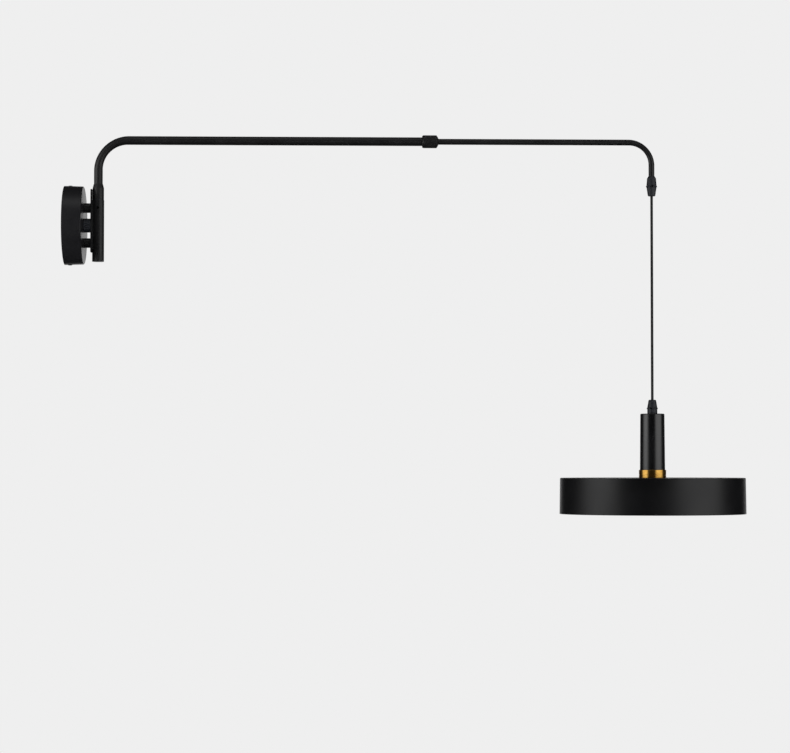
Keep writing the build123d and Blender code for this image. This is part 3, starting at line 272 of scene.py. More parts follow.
class WallLightStage(bpy.types.PropertyGroup):
    """Camera, floor, backdrop and lights"""

    camera_place: bpy.props.FloatVectorProperty(
        name="Camera place", description="Where the camera stands", default=(0.3988, -4.0437, -0.385),
        subtype="TRANSLATION", unit="LENGTH", precision=4,
    )
    camera_turn: bpy.props.FloatProperty(
        name="Camera turn", description="How far the camera is turned toward +X",
        default=radians(1.878), subtype="ANGLE",
    )
    camera_tilt: bpy.props.FloatProperty(
        name="Camera tilt", description="How far the camera looks up from level",
        default=radians(2.02), subtype="ANGLE",
    )
    camera_lens: bpy.props.FloatProperty(
        name="Camera lens", description="Focal length for a sensor 36 mm wide", default=114.48, unit="CAMERA"
    )
    floor_height: length("Floor height", -1350.0, "Height of the floor, below the picture")
    floor_radius: length("Floor radius", 3900.0, "Where the floor has faded into the backdrop")
    backdrop: colour("Backdrop", "#EFEFEF", "Colour behind the object")
    floor_colour: colour("Floor colour", "#EAEAEA", "Colour of the floor")
    studio_dim: colour(
        "Dim studio", "#2E2E30", "What glossy pieces mirror beside the backdrop and the lights"
    )
    fill: bpy.props.FloatProperty(name="Fill", description="Strength of the even light", default=0.14)
    softbox_light: bpy.props.FloatProperty(
        name="Softbox light", description="Brightness of the softboxes, where one is white", default=1.7
    )


def set_inputs(tree, sockets, inputs):
    """Give sockets their values, or a link where the value is another socket."""
    for key, value in inputs.items():
        if isinstance(value, bpy.types.NodeSocket):
            tree.links.new(value, sockets[key])
        else:
            sockets[key].default_value = value


def add_node(tree, kind, inputs=None, **settings):
    """Add a shader node with these inputs and settings of its own, and return its outputs."""
    node = tree.nodes.new("ShaderNode" + kind)
    for key, value in settings.items():
        setattr(node, key, value)
    set_inputs(tree, node.inputs, inputs or {})
    return node.outputs


# Sockets of a Mix node that mixes colours
MIX_FACTOR, MIX_FIRST, MIX_SECOND, MIX_RESULT = 0, 6, 7, 2

# Finish of each material slot in the record
SLOT_FINISHES = {
    "black_powder_coat": "powder_coat_black",
    "black_moulded_plastic": "moulded_nylon_black",
    "black_cord_sheath": "pvc_sheath_black",
    "brass": "turned_brass",
    "zinc_plated_steel": "zinc_plate",
    "black_oxide_steel": "black_oxide",
    "natural_nylon": "nylon_ivory",
    "brown_lead": "pvc_brown",
    "blue_lead": "pvc_blue",
    "earth_lead": "pvc_green_yellow",
    "white_ceramic": "glazed_steatite",
    "nickel_plated_steel": "nickel_plate",
    "white_plastic": "polycarbonate_white",
    "opal_globe": "polycarbonate_opal",
}

# Part of the cloud's noise that is spread over the whole range, detail of both noises, and how deep light
# goes into a finish that lets it in
CLOUD_RANGE = (0.35, 0.65)
GRAIN_DETAIL = 2.0
SUBSURFACE_DEPTH = 2.0 * MM


def finish(name):
    """Material of one finish: a fine grain raises the surface, a broad cloud shifts colour and roughness."""
    if name in bpy.data.materials:
        return bpy.data.materials[name]
    row = FINISHES[name]
    colours = bpy.context.scene.wall_light_colours
    main_colour, tint = [(*getattr(colours, f"{name}_{part}"), 1.0) for part in COLOUR_PARTS]
    material = bpy.data.materials.new(name)
    material.use_nodes = True
    tree = material.node_tree
    place = add_node(tree, "TexCoord")[row.coordinate]
    drawn = add_node(tree, "Mapping", {"Vector": place, "Scale": row.stretch})["Vector"]
    grain, cloud = [
        add_node(tree, "TexNoise", {"Vector": at, "Scale": 1 / (size * MM), "Detail": GRAIN_DETAIL})["Fac"]
        for at, size in ((drawn, row.grain), (place, row.cloud))
    ]
    clouded = {"Value": cloud, "From Min": CLOUD_RANGE[0], "From Max": CLOUD_RANGE[1]}
    rough, share = [
        add_node(tree, "MapRange", {**clouded, "To Min": low, "To Max": high})["Result"]
        for low, high in (row.roughness, (0.0, 1.0))
    ]
    if row.stripe:
        across = add_node(tree, "SeparateXYZ", {"Vector": place})["Y"]
        distance = add_node(tree, "Math", {0: across}, operation="ABSOLUTE")[0]
        share = add_node(tree, "Math", {0: distance, 1: row.stripe * MM}, operation="LESS_THAN")[0]
    mixed = add_node(
        tree, "Mix", {MIX_FACTOR: share, MIX_FIRST: main_colour, MIX_SECOND: tint}, data_type="RGBA"
    )[MIX_RESULT]
    raised = add_node(tree, "Bump", {"Height": grain, "Distance": row.bump * MM, "Strength": 1.0})["Normal"]
    own = {"Base Color": mixed, "Roughness": rough, "Normal": raised, "Subsurface Scale": SUBSURFACE_DEPTH}
    set_inputs(tree, tree.nodes["Principled BSDF"].inputs, {**own, **row.inputs})
    return material


def unit(vector):
    """The same direction with length one."""
    return np.asarray(vector, float) / np.linalg.norm(vector)


def node_box(node):
    """Lowest and highest corner of a CAD node, as arrays."""
    low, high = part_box(node)
    return np.array(low), np.array(high)


def upright(node):
    """Axis of a round CAD node that stands upright, its lower end, its upper end and its radius."""
    low, high = node_box(node)
    return np.array([(low[0] + high[0]) / 2, 0, 0]), low[2], high[2], high[1]


def rounded(corners):
    """Outline of points (distance, radius) whose corners (distance, radius, round) are turned into arcs.

    A corner without a round stays sharp. An arc runs between the points that lie round / tan(half the inner
    angle) from its corner. It is a rational quadratic curve through them whose weight is the sine of half the
    inner angle.
    """
    rows = np.array([(*corner, 0.0)[:3] for corner in corners])
    points, radii = rows[:, :2], rows[:, 2]
    back = np.roll(points, 1, 0) - points
    ahead = np.roll(points, -1, 0) - points
    back_length = np.linalg.norm(back, axis=1)
    ahead_length = np.linalg.norm(ahead, axis=1)
    back /= back_length[:, None]
    ahead /= ahead_length[:, None]
    half = np.arccos(np.clip((back * ahead).sum(1), -1, 1)) / 2
    cut = np.where(radii > 0, radii / np.tan(np.maximum(half, MERGE_DISTANCE)), 0)
    cut = np.minimum(cut, ARC_SHARE * np.minimum(back_length, ahead_length))[:, None]
    start, middle, end = (points + back * cut)[:, None], points[:, None], (points + ahead * cut)[:, None]
    weight = np.sin(half)[:, None, None]
    t = np.linspace(0, 1, ARC_STEPS)[None, :, None]
    parts = (1 - t) ** 2, 2 * weight * t * (1 - t), t**2
    curve = (parts[0] * start + parts[1] * middle + parts[2] * end) / (parts[0] + parts[1] + parts[2])
    return curve.reshape(-1, 2)


def ring_directions(along, segments):
    """Unit vectors all round an axis, from the upright one on, or from +X round an upright axis."""
    along = unit(along)
    first = ALONG_X if abs(along[2]) > abs(along[0]) + abs(along[1]) else ALONG_Z
    side = np.cross(along, first)
    angle = np.linspace(0, 2 * pi, segments, endpoint=False)[:, None]
    return np.cos(angle) * first + np.sin(angle) * side


def turned(profile, centre, along, segments=ROUND_SMALL, ripple=0.0):
    """Turn (distance, radius) rows about an axis: point = centre + along * distance + direction * radius.

    ripple is added to the radius and may differ from row to row and round the axis.
    """
    distance, radius = np.asarray(profile, float).T
    line = centre + distance[:, None] * unit(along)
    return line[:, None, :] + (radius[:, None] + ripple)[..., None] * ring_directions(along, segments)


def fluted(outline, top, stops, depth, count, centre):
    """Turn an outline about X with count flutes, where its radius is over top.

    They begin at the first stop, have their whole depth from the second to the third and end at the last.
    """
    share = np.where(outline[:, 1] > top, np.interp(outline[:, 0], stops, [0, 1, 1, 0]), 0)
    angle = np.linspace(0, 2 * pi, ROUND_FLUTED, endpoint=False)
    ripple = -np.outer(share * depth, 0.5 - 0.5 * np.cos(count * angle))
    return turned(outline, centre, ALONG_X, ROUND_FLUTED, ripple)


def bent_line(start, corner, end, radius):
    """Centre line and its direction: straight to the bend, a quarter circle of that radius, straight on."""
    start, corner, end = np.array([start, corner, end])
    first, second = unit(corner - start), unit(end - corner)
    angle = np.linspace(0, pi / 2, BEND_STEPS)[:, None]
    centre = corner + radius * (second - first)
    arc = centre + radius * (first * np.sin(angle) - second * np.cos(angle))
    heading = first * np.cos(angle) + second * np.sin(angle)
    return np.vstack([start, arc, end]), np.vstack([first, heading, second])


def swept(line, heading, radius, segments=ROUND_SMALL, flat=0.0):
    """Carry a ring along a line in the XZ plane.

    Each point is line + (out * (1 - flat) * cos(angle) + Y * sin(angle)) * radius.
    """
    angle = np.linspace(0, 2 * pi, segments, endpoint=False)[None, :, None]
    out = np.cross(ALONG_Y, heading)[:, None, :] * (1 - np.reshape(flat, (-1, 1, 1)))
    return line[:, None, :] + (out * np.cos(angle) + ALONG_Y * np.sin(angle)) * np.reshape(radius, (-1, 1, 1))


def tube(line, heading, outer, inner, flat):
    """Tube wall along a line: out along its outer radius and back along its inner one.

    Bending has flattened it by flat * sin(2 * turn), where turn runs from 0 to 90 degrees in the bend.
    """
    turn = np.arccos(np.clip(heading @ heading[0], -1, 1))
    squeeze = flat * np.sin(2 * turn)
    there_and_back = np.concatenate([line, line[::-1]]), np.concatenate([heading, heading[::-1]])
    radius = np.repeat([outer, inner], len(line))
    return swept(*there_and_back, radius, flat=np.concatenate([squeeze, squeeze[::-1]]))


def plate(centre, half_width, half_height, corner, edge, thickness):
    """Rounded plate square to X: outline = corner centre + normal * (corner - inset), carried through X."""
    angle = np.linspace(0, 2 * pi, 4 * ROUND_SMALL, endpoint=False) + pi / ROUND_SMALL / 4
    normal = np.stack([np.cos(angle), np.sin(angle)], 1)
    core = np.sign(normal) * [half_width - corner, half_height - corner]
    profile = rounded([(0, corner), (0, 0, edge), (thickness, 0, edge), (thickness, corner)])
    offset, inset = profile[:, 0], profile[:, 1]
    flat = core[None] + normal[None] * (corner - inset)[:, None, None]
    depth = np.broadcast_to(offset[:, None, None], (*flat.shape[:2], 1))
    rows = centre + np.concatenate([depth, flat], 2)
    ends = [np.broadcast_to(centre + [x, 0, 0], (1, len(angle), 3)) for x in (0, thickness)]
    return np.concatenate([ends[0], rows, ends[1]])


def mesh_of(name, grids, row_finishes=None, row_lengths=None, width=0.0):
    """Mesh of grids of points (rows, columns, 3), each closed round its columns.

    A grid whose first row is one point runs from pole to pole, any other is closed round its rows too.
    row_finishes gives the material index of each row, row_lengths and width a UV map in metres.
    """
    points, faces, finishes, maps, start = [], [], [], [], 0
    for grid in grids:
        rows, columns = grid.shape[:2]
        poles = np.ptp(grid[0], axis=0).max() < MERGE_DISTANCE
        row, column = np.meshgrid(np.arange(rows - poles), np.arange(columns), indexing="ij")
        below, beside = (row + 1) % rows, (column + 1) % columns
        quads = np.stack([(row, column), (below, column), (below, beside), (row, beside)], -1)
        faces.append(start + (quads[0] * columns + quads[1]).reshape(-1, 4))
        points.append(grid.reshape(-1, 3))
        start += rows * columns
        if row_finishes is not None:
            finishes.append(np.asarray(row_finishes)[row].ravel())
        if row_lengths is not None:
            across = np.stack([column, column, column + 1, column + 1], -1) * width / columns
            maps.append(np.stack([across, np.asarray(row_lengths)[quads[0]]], -1).ravel())
    mesh = bpy.data.meshes.new(name)
    mesh.from_pydata(np.concatenate(points).tolist(), [], np.concatenate(faces).tolist())
    if finishes:
        mesh.polygons.foreach_set("material_index", np.concatenate(finishes).astype(np.int32))
    if maps:
        mesh.uv_layers.new(name="UVMap").data.foreach_set("uv", np.concatenate(maps).astype(np.float32))
    closed = bmesh.new()
    closed.from_mesh(mesh)
    bmesh.ops.remove_doubles(closed, verts=closed.verts, dist=MERGE_DISTANCE)
    bmesh.ops.recalc_face_normals(closed, faces=closed.faces)
    closed.to_mesh(mesh)
    closed.free()
    return mesh


def add_object(name, data):
    """New object in the scene, at the origin."""
    item = bpy.data.objects.new(name, data)
    bpy.context.scene.collection.objects.link(item)
    return item


def bored(item, holes):
    """Cut round holes (start, direction, radius, depth) out of an object's mesh."""
    for start, direction, radius, depth in holes:
        outline = [(0, 0), (0, radius), (depth, radius), (depth, 0)]
        cutter = add_object("cutter", mesh_of("cutter", [turned(outline, start, direction)]))
        cut = item.modifiers.new("cut", "BOOLEAN")
        cut.object, cut.operation, cut.solver = cutter, "DIFFERENCE", "EXACT"
        whole = item.data
        item.data = bpy.data.meshes.new_from_object(
            item.evaluated_get(bpy.context.evaluated_depsgraph_get())
        )
        item.modifiers.remove(cut)
        bpy.data.meshes.remove(whole)
        bpy.data.meshes.remove(cutter.data)


def make_piece(name, grids, body, slot, replaced=(), finishes=None, holes=(), row_finishes=None):
    """Build a piece, finish it, and let it ride on its body in place of the CAD nodes that it shows.

    It has its slot's finish unless finishes names others.
    """
    item = add_object(name, mesh_of(name, grids, row_finishes))
    bored(item, holes)
    item.data.name = name
    item.data.shade_smooth()
    item.data.set_sharp_from_angle(angle=SHARP_ANGLE)
    for finish_name in finishes or [SLOT_FINISHES[slot]]:
        item.data.materials.append(finish(finish_name))
    item.modifiers.new("flat faces stay flat", "WEIGHTED_NORMAL").keep_sharp = True
    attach(item, body)
    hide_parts(*replaced)


def turned_piece(name, corners, axis, along, body, slot, node, segments=ROUND_SMALL, **settings):
    """Piece turned from corners (distance, radius, round) about an axis, in place of one CAD node."""
    make_piece(name, [turned(rounded(corners), axis, along, segments)], body, slot, [node], **settings)


def screw_hole(screw, gap, outward):
    """Hole for a set screw, from a little outside its face to its inner end."""
    low, high = node_box(screw)
    radius = (high[2] - low[2]) / 2
    middle = (low + high) / 2
    reach = np.linalg.norm(high[:2] - low[:2])
    return middle + outward * reach, -outward, radius + gap, 2 * reach


class WALL_LIGHT_OT_cord(bpy.types.Operator):
    """Straight cord between the two grips, with a rounded top end"""

    bl_idname = "wall_light.cord"
    bl_label = "Hanging cord"

    def execute(self, context):
        sizes = context.scene.wall_light_sizes
        radius = sizes.cord_diameter / 2
        flex_low, flex_high = node_box("cord_flex")
        middle = (flex_low + flex_high) / 2
        pivot = flex_high[2] - radius
        knee = flex_low[2] + radius
        lower_nose = node_box("holder_grip")[1][2]
        hidden_end = (lower_nose + node_box("cord_drop")[0][2]) / 2
        route = [(middle[0], middle[1], height) for height in (pivot, knee, hidden_end)]
        curve = bpy.data.curves.new("cord_route", "CURVE")
        curve.dimensions = "3D"
        curve.resolution_u = CORD_STEPS
        spline = curve.splines.new("NURBS")
        spline.points.add(len(route) - 1)
        spline.points.foreach_set("co", np.array([(*point, 1.0) for point in route]).ravel())
        spline.order_u = 3
        spline.use_endpoint_u = True
        route_object = add_object("cord_route", curve)
        followed = bpy.data.meshes.new_from_object(route_object)
        line = np.zeros(len(followed.vertices) * 3)
        followed.vertices.foreach_get("co", line)
        line = line.reshape(-1, 3)
        bpy.data.meshes.remove(followed)
        bpy.data.curves.remove(curve)
        heading = np.gradient(line, axis=0)
        heading /= np.linalg.norm(heading, axis=1)[:, None]
        swing = np.linspace(pi / 2, 0, ARC_STEPS)[:, None]
        cap = line[0] - heading[0] * radius * np.sin(swing)
        stations = np.concatenate([cap, line[1:], line[-1:]])
        headings = np.concatenate([np.repeat(heading[:1], ARC_STEPS, 0), heading[1:], heading[-1:]])
        radii = np.concatenate([radius * np.cos(swing).ravel(), np.full(len(line) - 1, radius), [0]])
        radii[0] = 0
        travelled = np.concatenate([[0], np.cumsum(np.linalg.norm(np.diff(stations, axis=0), axis=1))])
        grid = swept(stations, headings, radii, ROUND_CORD)
        cord = add_object("hanging_cord", mesh_of("hanging_cord", [grid], None, travelled, 2 * pi * radius))
        cord.data.shade_smooth()
        cord.data.materials.append(finish("pvc_sheath_black"))
        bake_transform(cord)
        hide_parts("cord_flex", "cord_drop")
        return {"FINISHED"}


class WALL_LIGHT_OT_canopy(bpy.types.Operator):
    """Round pressed cup against the wall, open at the back"""

    bl_idname = "wall_light.canopy"
    bl_label = "Canopy"

    def execute(self, context):
        sizes = context.scene.wall_light_sizes
        edge, wall = sizes.edge, sizes.canopy_wall
        depth, _, rim = node_box("canopy")[1]
        front = rim - sizes.canopy_taper
        corners = [
            (depth, 0), (depth, front, sizes.canopy_edge), (0, rim, edge), (0, rim - wall, edge),
            (depth - wall, front - wall, edge), (depth - wall, 0),
        ]
        turned_piece(
            "canopy_cup", corners, ORIGIN, ALONG_X, "wall_mount", "black_powder_coat", "canopy", ROUND_LARGE,
            finishes=["satin_coat_black"],
        )
        return {"FINISHED"}


class WALL_LIGHT_OT_bracket(bpy.types.Operator):
    """Spacers, fluted bush, flat bar, pivot sleeve and the weld between them"""

    bl_idname = "wall_light.bracket"
    bl_label = "Bracket"

    def execute(self, context):
        sizes = context.scene.wall_light_sizes
        low, high = node_box("bracket_standoffs")
        back, front, radius = low[0], high[0], high[1]
        bore, edge = sizes.spacer_bore, sizes.edge
        outline = rounded([(back, bore), (back, radius, edge), (front, radius, edge), (front, bore)])
        rise = ALONG_Z * (high[2] - radius)
        make_piece(
            "spacer_pair", [turned(outline, place, ALONG_X) for place in (rise, -rise)],
            "wall_mount", "black_powder_coat", ["bracket_standoffs"],
        )
        self.make_bush(sizes, back, front)
        low, high = node_box("bracket_bar")
        centre = (low + high) / 2
        centre[0] = low[0]
        half_height, thickness = (high[2] - low[2]) / 2, high[0] - low[0]
        make_piece(
            "bracket_plate", [plate(centre, high[1], half_height, sizes.bar_corner, edge, thickness)],
            "wall_mount", "black_powder_coat", ["bracket_bar"],
        )
        self.make_sleeve(sizes, high[0], low[2] + sizes.bar_corner)
        return {"FINISHED"}

    def make_bush(self, sizes, back, front):
        """Middle bush: its body lies between canopy and bar, flutes end before its rims."""
        low, high = node_box("cable_bush")
        start, end, radius = low[0], high[0], high[1]
        bore, nose, rim, edge = sizes.bush_bore, sizes.bush_nose, sizes.bush_rim, sizes.edge
        flutes = [back + rim, back + 2 * rim, front - 2 * rim, front - rim]
        outline = rounded(
            [
                (start, bore), (start, sizes.bush_spigot), (back, sizes.bush_spigot), (back, radius, edge),
                *[(place, radius) for place in flutes],
                (front, radius, edge), (front, nose), (end, nose), (end, bore),
            ]
        )
        grid = fluted(outline, radius - edge / 8, flutes, sizes.flute_depth, sizes.flutes, ORIGIN)
        make_piece("fluted_bush", [grid], "wall_mount", "black_moulded_plastic", ["cable_bush"])

    def make_sleeve(self, sizes, bar_front, weld_foot):
        """Pivot sleeve, and two rippled weld beads that fill the corners between it and the bar."""
        low, high = node_box("pivot_sleeve")
        bottom, top, radius = low[2], high[2], high[1]
        axis = np.array([high[0] - radius, 0, 0])
        bore, edge = radius - sizes.sleeve_wall, sizes.edge / 2
        turned_piece(
            "sleeve_tube",
            [(bottom, bore, edge), (bottom, radius, edge), (top, radius, edge), (top, bore, edge)],
            axis, ALONG_Z, "wall_mount", "black_powder_coat", "pivot_sleeve", ROUND_MIDDLE,
            holes=[screw_hole("friction_screw", sizes.screw_gap, -ALONG_Y)],
        )
        bead = sizes.weld_bead
        aside = sqrt((radius + bead) ** 2 - (axis[0] - bar_front - bead) ** 2)
        weld_head = top - sizes.edge
        share = np.linspace(-1, 1, WELD_STEPS)
        height = (weld_foot + weld_head) / 2 + share * (weld_head - weld_foot) / 2
        swell = 1 + WELD_SWELL * np.cos(2 * pi * height / sizes.weld_ripple)
        taper = np.sqrt(np.clip(1 - np.abs(share) ** WELD_FULLNESS, 0, 1))
        outline = np.stack([height, bead * swell * taper], 1)
        places = [np.array([bar_front + bead, y, 0]) for y in (aside, -aside)]
        make_piece(
            "weld_beads", [turned(outline, place, ALONG_Z, ROUND_WELD) for place in places],
            "wall_mount", "black_powder_coat",
        )


class WALL_LIGHT_OT_arm(bpy.types.Operator):
    """Thick bent tube and the collar that carries it on the sleeve"""

    bl_idname = "wall_light.arm"
    bl_label = "Arm"

    def execute(self, context):
        sizes = context.scene.wall_light_sizes
        low, high = node_box("arm_tube")
        radius = high[1]
        post, run = low[0] + radius, high[2] - radius
        line = bent_line((post, 0, low[2]), (post, 0, run), (high[0], 0, run), sizes.arm_bend)
        make_piece(
            "arm_pipe", [tube(*line, radius, radius - sizes.arm_wall, sizes.bend_flattening)],
            "arm", "black_powder_coat", ["arm_tube"],
        )
        bottom, top, wide = upright("swivel_collar")[1:]
        bore, edge = radius + sizes.fit_gap, sizes.edge
        corners = [
            (bottom, bore), (bottom, wide, edge), (top - sizes.collar_cone, wide, 2 * edge),
            (top, radius + sizes.collar_lip, edge / 2), (top, bore),
        ]
        turned_piece(
            "collar_ring", corners, np.array([post, 0, 0]), ALONG_Z, "arm", "black_powder_coat",
            "swivel_collar", ROUND_MIDDLE, holes=[screw_hole("collar_screw", sizes.screw_gap, ALONG_Y)],
        )
        return {"FINISHED"}


class WALL_LIGHT_OT_lock_nut(bpy.types.Operator):
    """Knurled nut that locks the telescoping tubes"""

    bl_idname = "wall_light.lock_nut"
    bl_label = "Lock nut"

    def execute(self, context):
        sizes = context.scene.wall_light_sizes
        low, high = node_box("lock_nut")
        back, front, radius = low[0], high[0], high[1]
        edge, bore, throat = sizes.edge, sizes.nut_bore, sizes.nut_throat
        bevel, nose, seat = back + sizes.nut_chamfer, front - sizes.nut_nose, front - sizes.nut_front_wall
        first, last = bevel + sizes.knurl_margin, nose - sizes.knurl_margin
        ramp = 2 * sizes.knurl_depth
        knurl = [first, first + ramp, last - ramp, last]
        outline = rounded(
            [
                (back, bore), (back, radius - sizes.nut_chamfer / 2, edge), (bevel, radius, edge),
                *[(place, radius) for place in knurl],
                (nose, radius, 2 * edge), (front, sizes.nut_nose_radius, edge), (front, throat),
                (seat, throat), (seat, throat + 2 * edge), (seat - sizes.nut_seat, bore),
            ]
        )
        axis = ALONG_Z * (high[2] - radius)
        grid = fluted(outline, radius - edge / 8, knurl, sizes.knurl_depth, sizes.knurls, axis)
        make_piece("knurled_nut", [grid], "lock_nut", "black_powder_coat", ["lock_nut"])
        return {"FINISHED"}


class WALL_LIGHT_OT_extension(bpy.types.Operator):
    """Thin bent tube that slides in the arm"""

    bl_idname = "wall_light.extension"
    bl_label = "Extension"

    def execute(self, context):
        sizes = context.scene.wall_light_sizes
        low, high = node_box("extension_tube")
        radius = high[1]
        drop, run = high[0] - radius, high[2] - radius
        line = bent_line((low[0], 0, run), (drop, 0, run), (drop, 0, low[2]), sizes.extension_bend)
        make_piece(
            "extension_pipe", [tube(*line, radius, radius - sizes.extension_wall, sizes.bend_flattening)],
            "extension", "black_powder_coat", ["extension_tube"],
        )
        return {"FINISHED"}


class WALL_LIGHT_OT_cord_grips(bpy.types.Operator):
    """Moulded adapter and cone at the tip of the arm, and the cone on the lamp holder"""

    bl_idname = "wall_light.cord_grips"
    bl_label = "Cord grips"

    def execute(self, context):
        sizes = context.scene.wall_light_sizes
        edge, gap, shoulder = sizes.edge, sizes.fit_gap, sizes.grip_shoulder
        tube_low, tube_high = node_box("extension_tube")
        tube_end, tube_radius = tube_low[2], tube_high[1]
        axis = np.array([tube_high[0] - tube_radius, 0, 0])
        bottom, top = upright("tip_adapter")[1:3]
        socket, spigot = tube_radius + gap, sizes.tip_spigot + gap
        corners = [
            (top, socket), (top, tube_radius + sizes.collar_lip, gap),
            (top - sizes.adapter_cone, sizes.adapter_top, 2 * edge), (bottom, shoulder, edge / 2),
            (bottom, spigot), (tube_end, spigot), (tube_end, socket),
        ]
        turned_piece(
            "tip_adapter_moulding", corners, axis, ALONG_Z, "extension", "black_moulded_plastic",
            "tip_adapter",
        )
        bottom, top, ridge = upright("tip_grip")[1:]
        cord_radius = sizes.cord_diameter / 2
        joint = next(j for j in frame["joints"] if j["name"] == "pendant_swing_along")
        swing = radians(max(joint["range_deg"]))
        mouth = cord_radius / cos(swing) + sizes.mouth_depth * tan(swing) + sizes.cord_gap
        bore, spigot = cord_radius + sizes.cord_gap, sizes.tip_spigot
        end, spigot_end = sizes.tip_grip_length, top - bottom
        corners = [
            (0, mouth, gap), *self.cone(sizes, ridge, sizes.tip_cone), (end, shoulder, edge / 2),
            (end, spigot), (spigot_end, spigot), (spigot_end, bore), (sizes.mouth_depth, bore),
        ]
        turned_piece(
            "tip_grip_moulding", corners, axis + ALONG_Z * bottom, ALONG_Z, "extension",
            "black_moulded_plastic", "tip_grip",
            holes=[screw_hole("tip_grip_screw", sizes.screw_gap, -ALONG_Y)],
        )
        bottom, top, ridge = upright("holder_grip")[1:]
        end, bore = top - bottom, cord_radius + gap
        pipe, pipe_end = sizes.nipple_radius + gap, end - sizes.nipple_engagement - gap
        corners = [
            (0, bore), *self.cone(sizes, ridge, sizes.holder_cone), (end, shoulder, edge / 2), (end, pipe),
            (pipe_end, pipe), (pipe_end, bore),
        ]
        screw_low, screw_high = node_box("holder_grip_screw")
        outward = (screw_low + screw_high) / 2 - axis
        outward[2] = 0
        turned_piece(
            "holder_grip_moulding", corners, axis + ALONG_Z * top, -ALONG_Z, "pendant",
            "black_moulded_plastic", "holder_grip",
            holes=[screw_hole("holder_grip_screw", sizes.screw_gap, unit(outward))],
        )
        return {"FINISHED"}

    def cone(self, sizes, ridge, cone):
        """Corners of a grip's outside from its nose to the foot of its ridge."""
        edge, shoulder = sizes.edge / 2, sizes.grip_shoulder
        top = cone + sizes.grip_slope
        end = top + sizes.grip_flat
        return [
            (0, sizes.grip_nose, sizes.grip_nose_round), (cone, shoulder, edge), (top, ridge, edge),
            (end, ridge, edge), (end + sizes.grip_slope, shoulder, edge),
        ]


class WALL_LIGHT_OT_lamp_holder(bpy.types.Operator):
    """Spun cover round the lamp socket and the brass ring below it"""

    bl_idname = "wall_light.lamp_holder"
    bl_label = "Lamp holder"

    def execute(self, context):
        sizes = context.scene.wall_light_sizes
        axis, bottom, top, wide = upright("holder_shell")
        edge, wall, narrow = sizes.edge, sizes.cover_wall, wide - sizes.cover_taper
        hole = sizes.nipple_radius + sizes.fit_gap
        corners = [
            (top, hole), (top, narrow, sizes.cover_edge), (bottom, wide, edge / 4),
            (bottom, wide - wall, edge / 4), (top - wall, narrow - wall, edge), (top - wall, hole),
        ]
        turned_piece(
            "cover_spinning", corners, axis, ALONG_Z, "pendant", "black_powder_coat", "holder_shell",
            ROUND_MIDDLE, finishes=["lacquer_black"],
        )
        bottom, top, radius = upright("shade_ring")[1:]
        neck, seat, step = sizes.neck_radius, wide + sizes.fit_gap, top - sizes.ring_seat
        groove, floor = bottom + sizes.groove_height, radius - sizes.groove_depth
        groove_end = groove + sizes.groove_width
        corners = [
            (bottom, neck), (bottom, radius, edge), (groove, radius, edge / 4), (groove, floor, edge / 8),
            (groove_end, floor, edge / 8), (groove_end, radius, edge / 4), (top, radius, edge),
            (top, seat, edge / 4), (step, seat), (step, neck),
        ]
        turned_piece("brass_ring", corners, axis, ALONG_Z, "pendant", "brass", "shade_ring", ROUND_MIDDLE)
        return {"FINISHED"}


class WALL_LIGHT_OT_shade(bpy.types.Operator):
    """Flat drum shade, black outside and white inside, with a folded hem"""

    bl_idname = "wall_light.shade"
    bl_label = "Shade"

    def execute(self, context):
        sizes = context.scene.wall_light_sizes
        axis, bottom, top, wide = upright("shade")
        wall, neck, fold = sizes.shade_wall, sizes.neck_radius, sizes.shade_wall / 2
        narrow = wide - sizes.shade_taper
        hem = bottom + sizes.hem_height
        lean = sizes.shade_taper * sizes.hem_height / (top - bottom)
        corners = [
            (top, neck), (top, narrow, sizes.shade_edge), (bottom, wide, fold),
            (bottom, wide - 2 * wall, fold), (hem, wide - lean - 2 * wall, fold),
            (hem + wall, wide - lean - wall, fold), (top - wall, narrow - wall, sizes.shade_edge - wall),
            (top - wall, neck),
        ]
        # Which finish the rows at each corner have
        inside = [0, 0, 0, 1, 1, 1, 1, 0]
        turned_piece(
            "shade_drum", corners, axis, ALONG_Z, "pendant", "black_powder_coat", "shade", ROUND_LARGE,
            finishes=["smooth_coat_black", "enamel_white"],
            row_finishes=np.repeat(inside, ARC_STEPS),
        )
        return {"FINISHED"}


class WALL_LIGHT_OT_bulb(bpy.types.Operator):
    """Bulb housing and opal globe in the shade"""

    bl_idname = "wall_light.bulb"
    bl_label = "Bulb"

    def execute(self, context):
        sizes = context.scene.wall_light_sizes
        axis, bottom, top, wide = upright("bulb_housing")
        neck = sizes.bulb_neck
        corners = [
            (top, 0), (top, neck, sizes.edge), (top - sizes.bulb_neck_length, neck, sizes.bulb_round),
            (bottom, wide, sizes.edge / 2), (bottom, 0),
        ]
        turned_piece("bulb_body", corners, axis, ALONG_Z, "pendant", "white_plastic", "bulb_housing")
        bottom, top, radius = upright("bulb_globe")[1:]
        centre = bottom + radius
        turn = np.linspace(-pi / 2, np.arcsin((top - centre) / radius), GLOBE_STEPS)
        outer = np.stack([np.sin(turn), np.cos(turn)], 1) * radius
        outline = np.concatenate([outer, outer[::-1] * (1 - sizes.bulb_wall / radius)])
        outline[[0, -1], 1] = 0
        make_piece(
            "bulb_diffuser", [turned(outline, axis + ALONG_Z * centre, ALONG_Z)],
            "pendant", "opal_globe", ["bulb_globe"],
        )
        return {"FINISHED"}


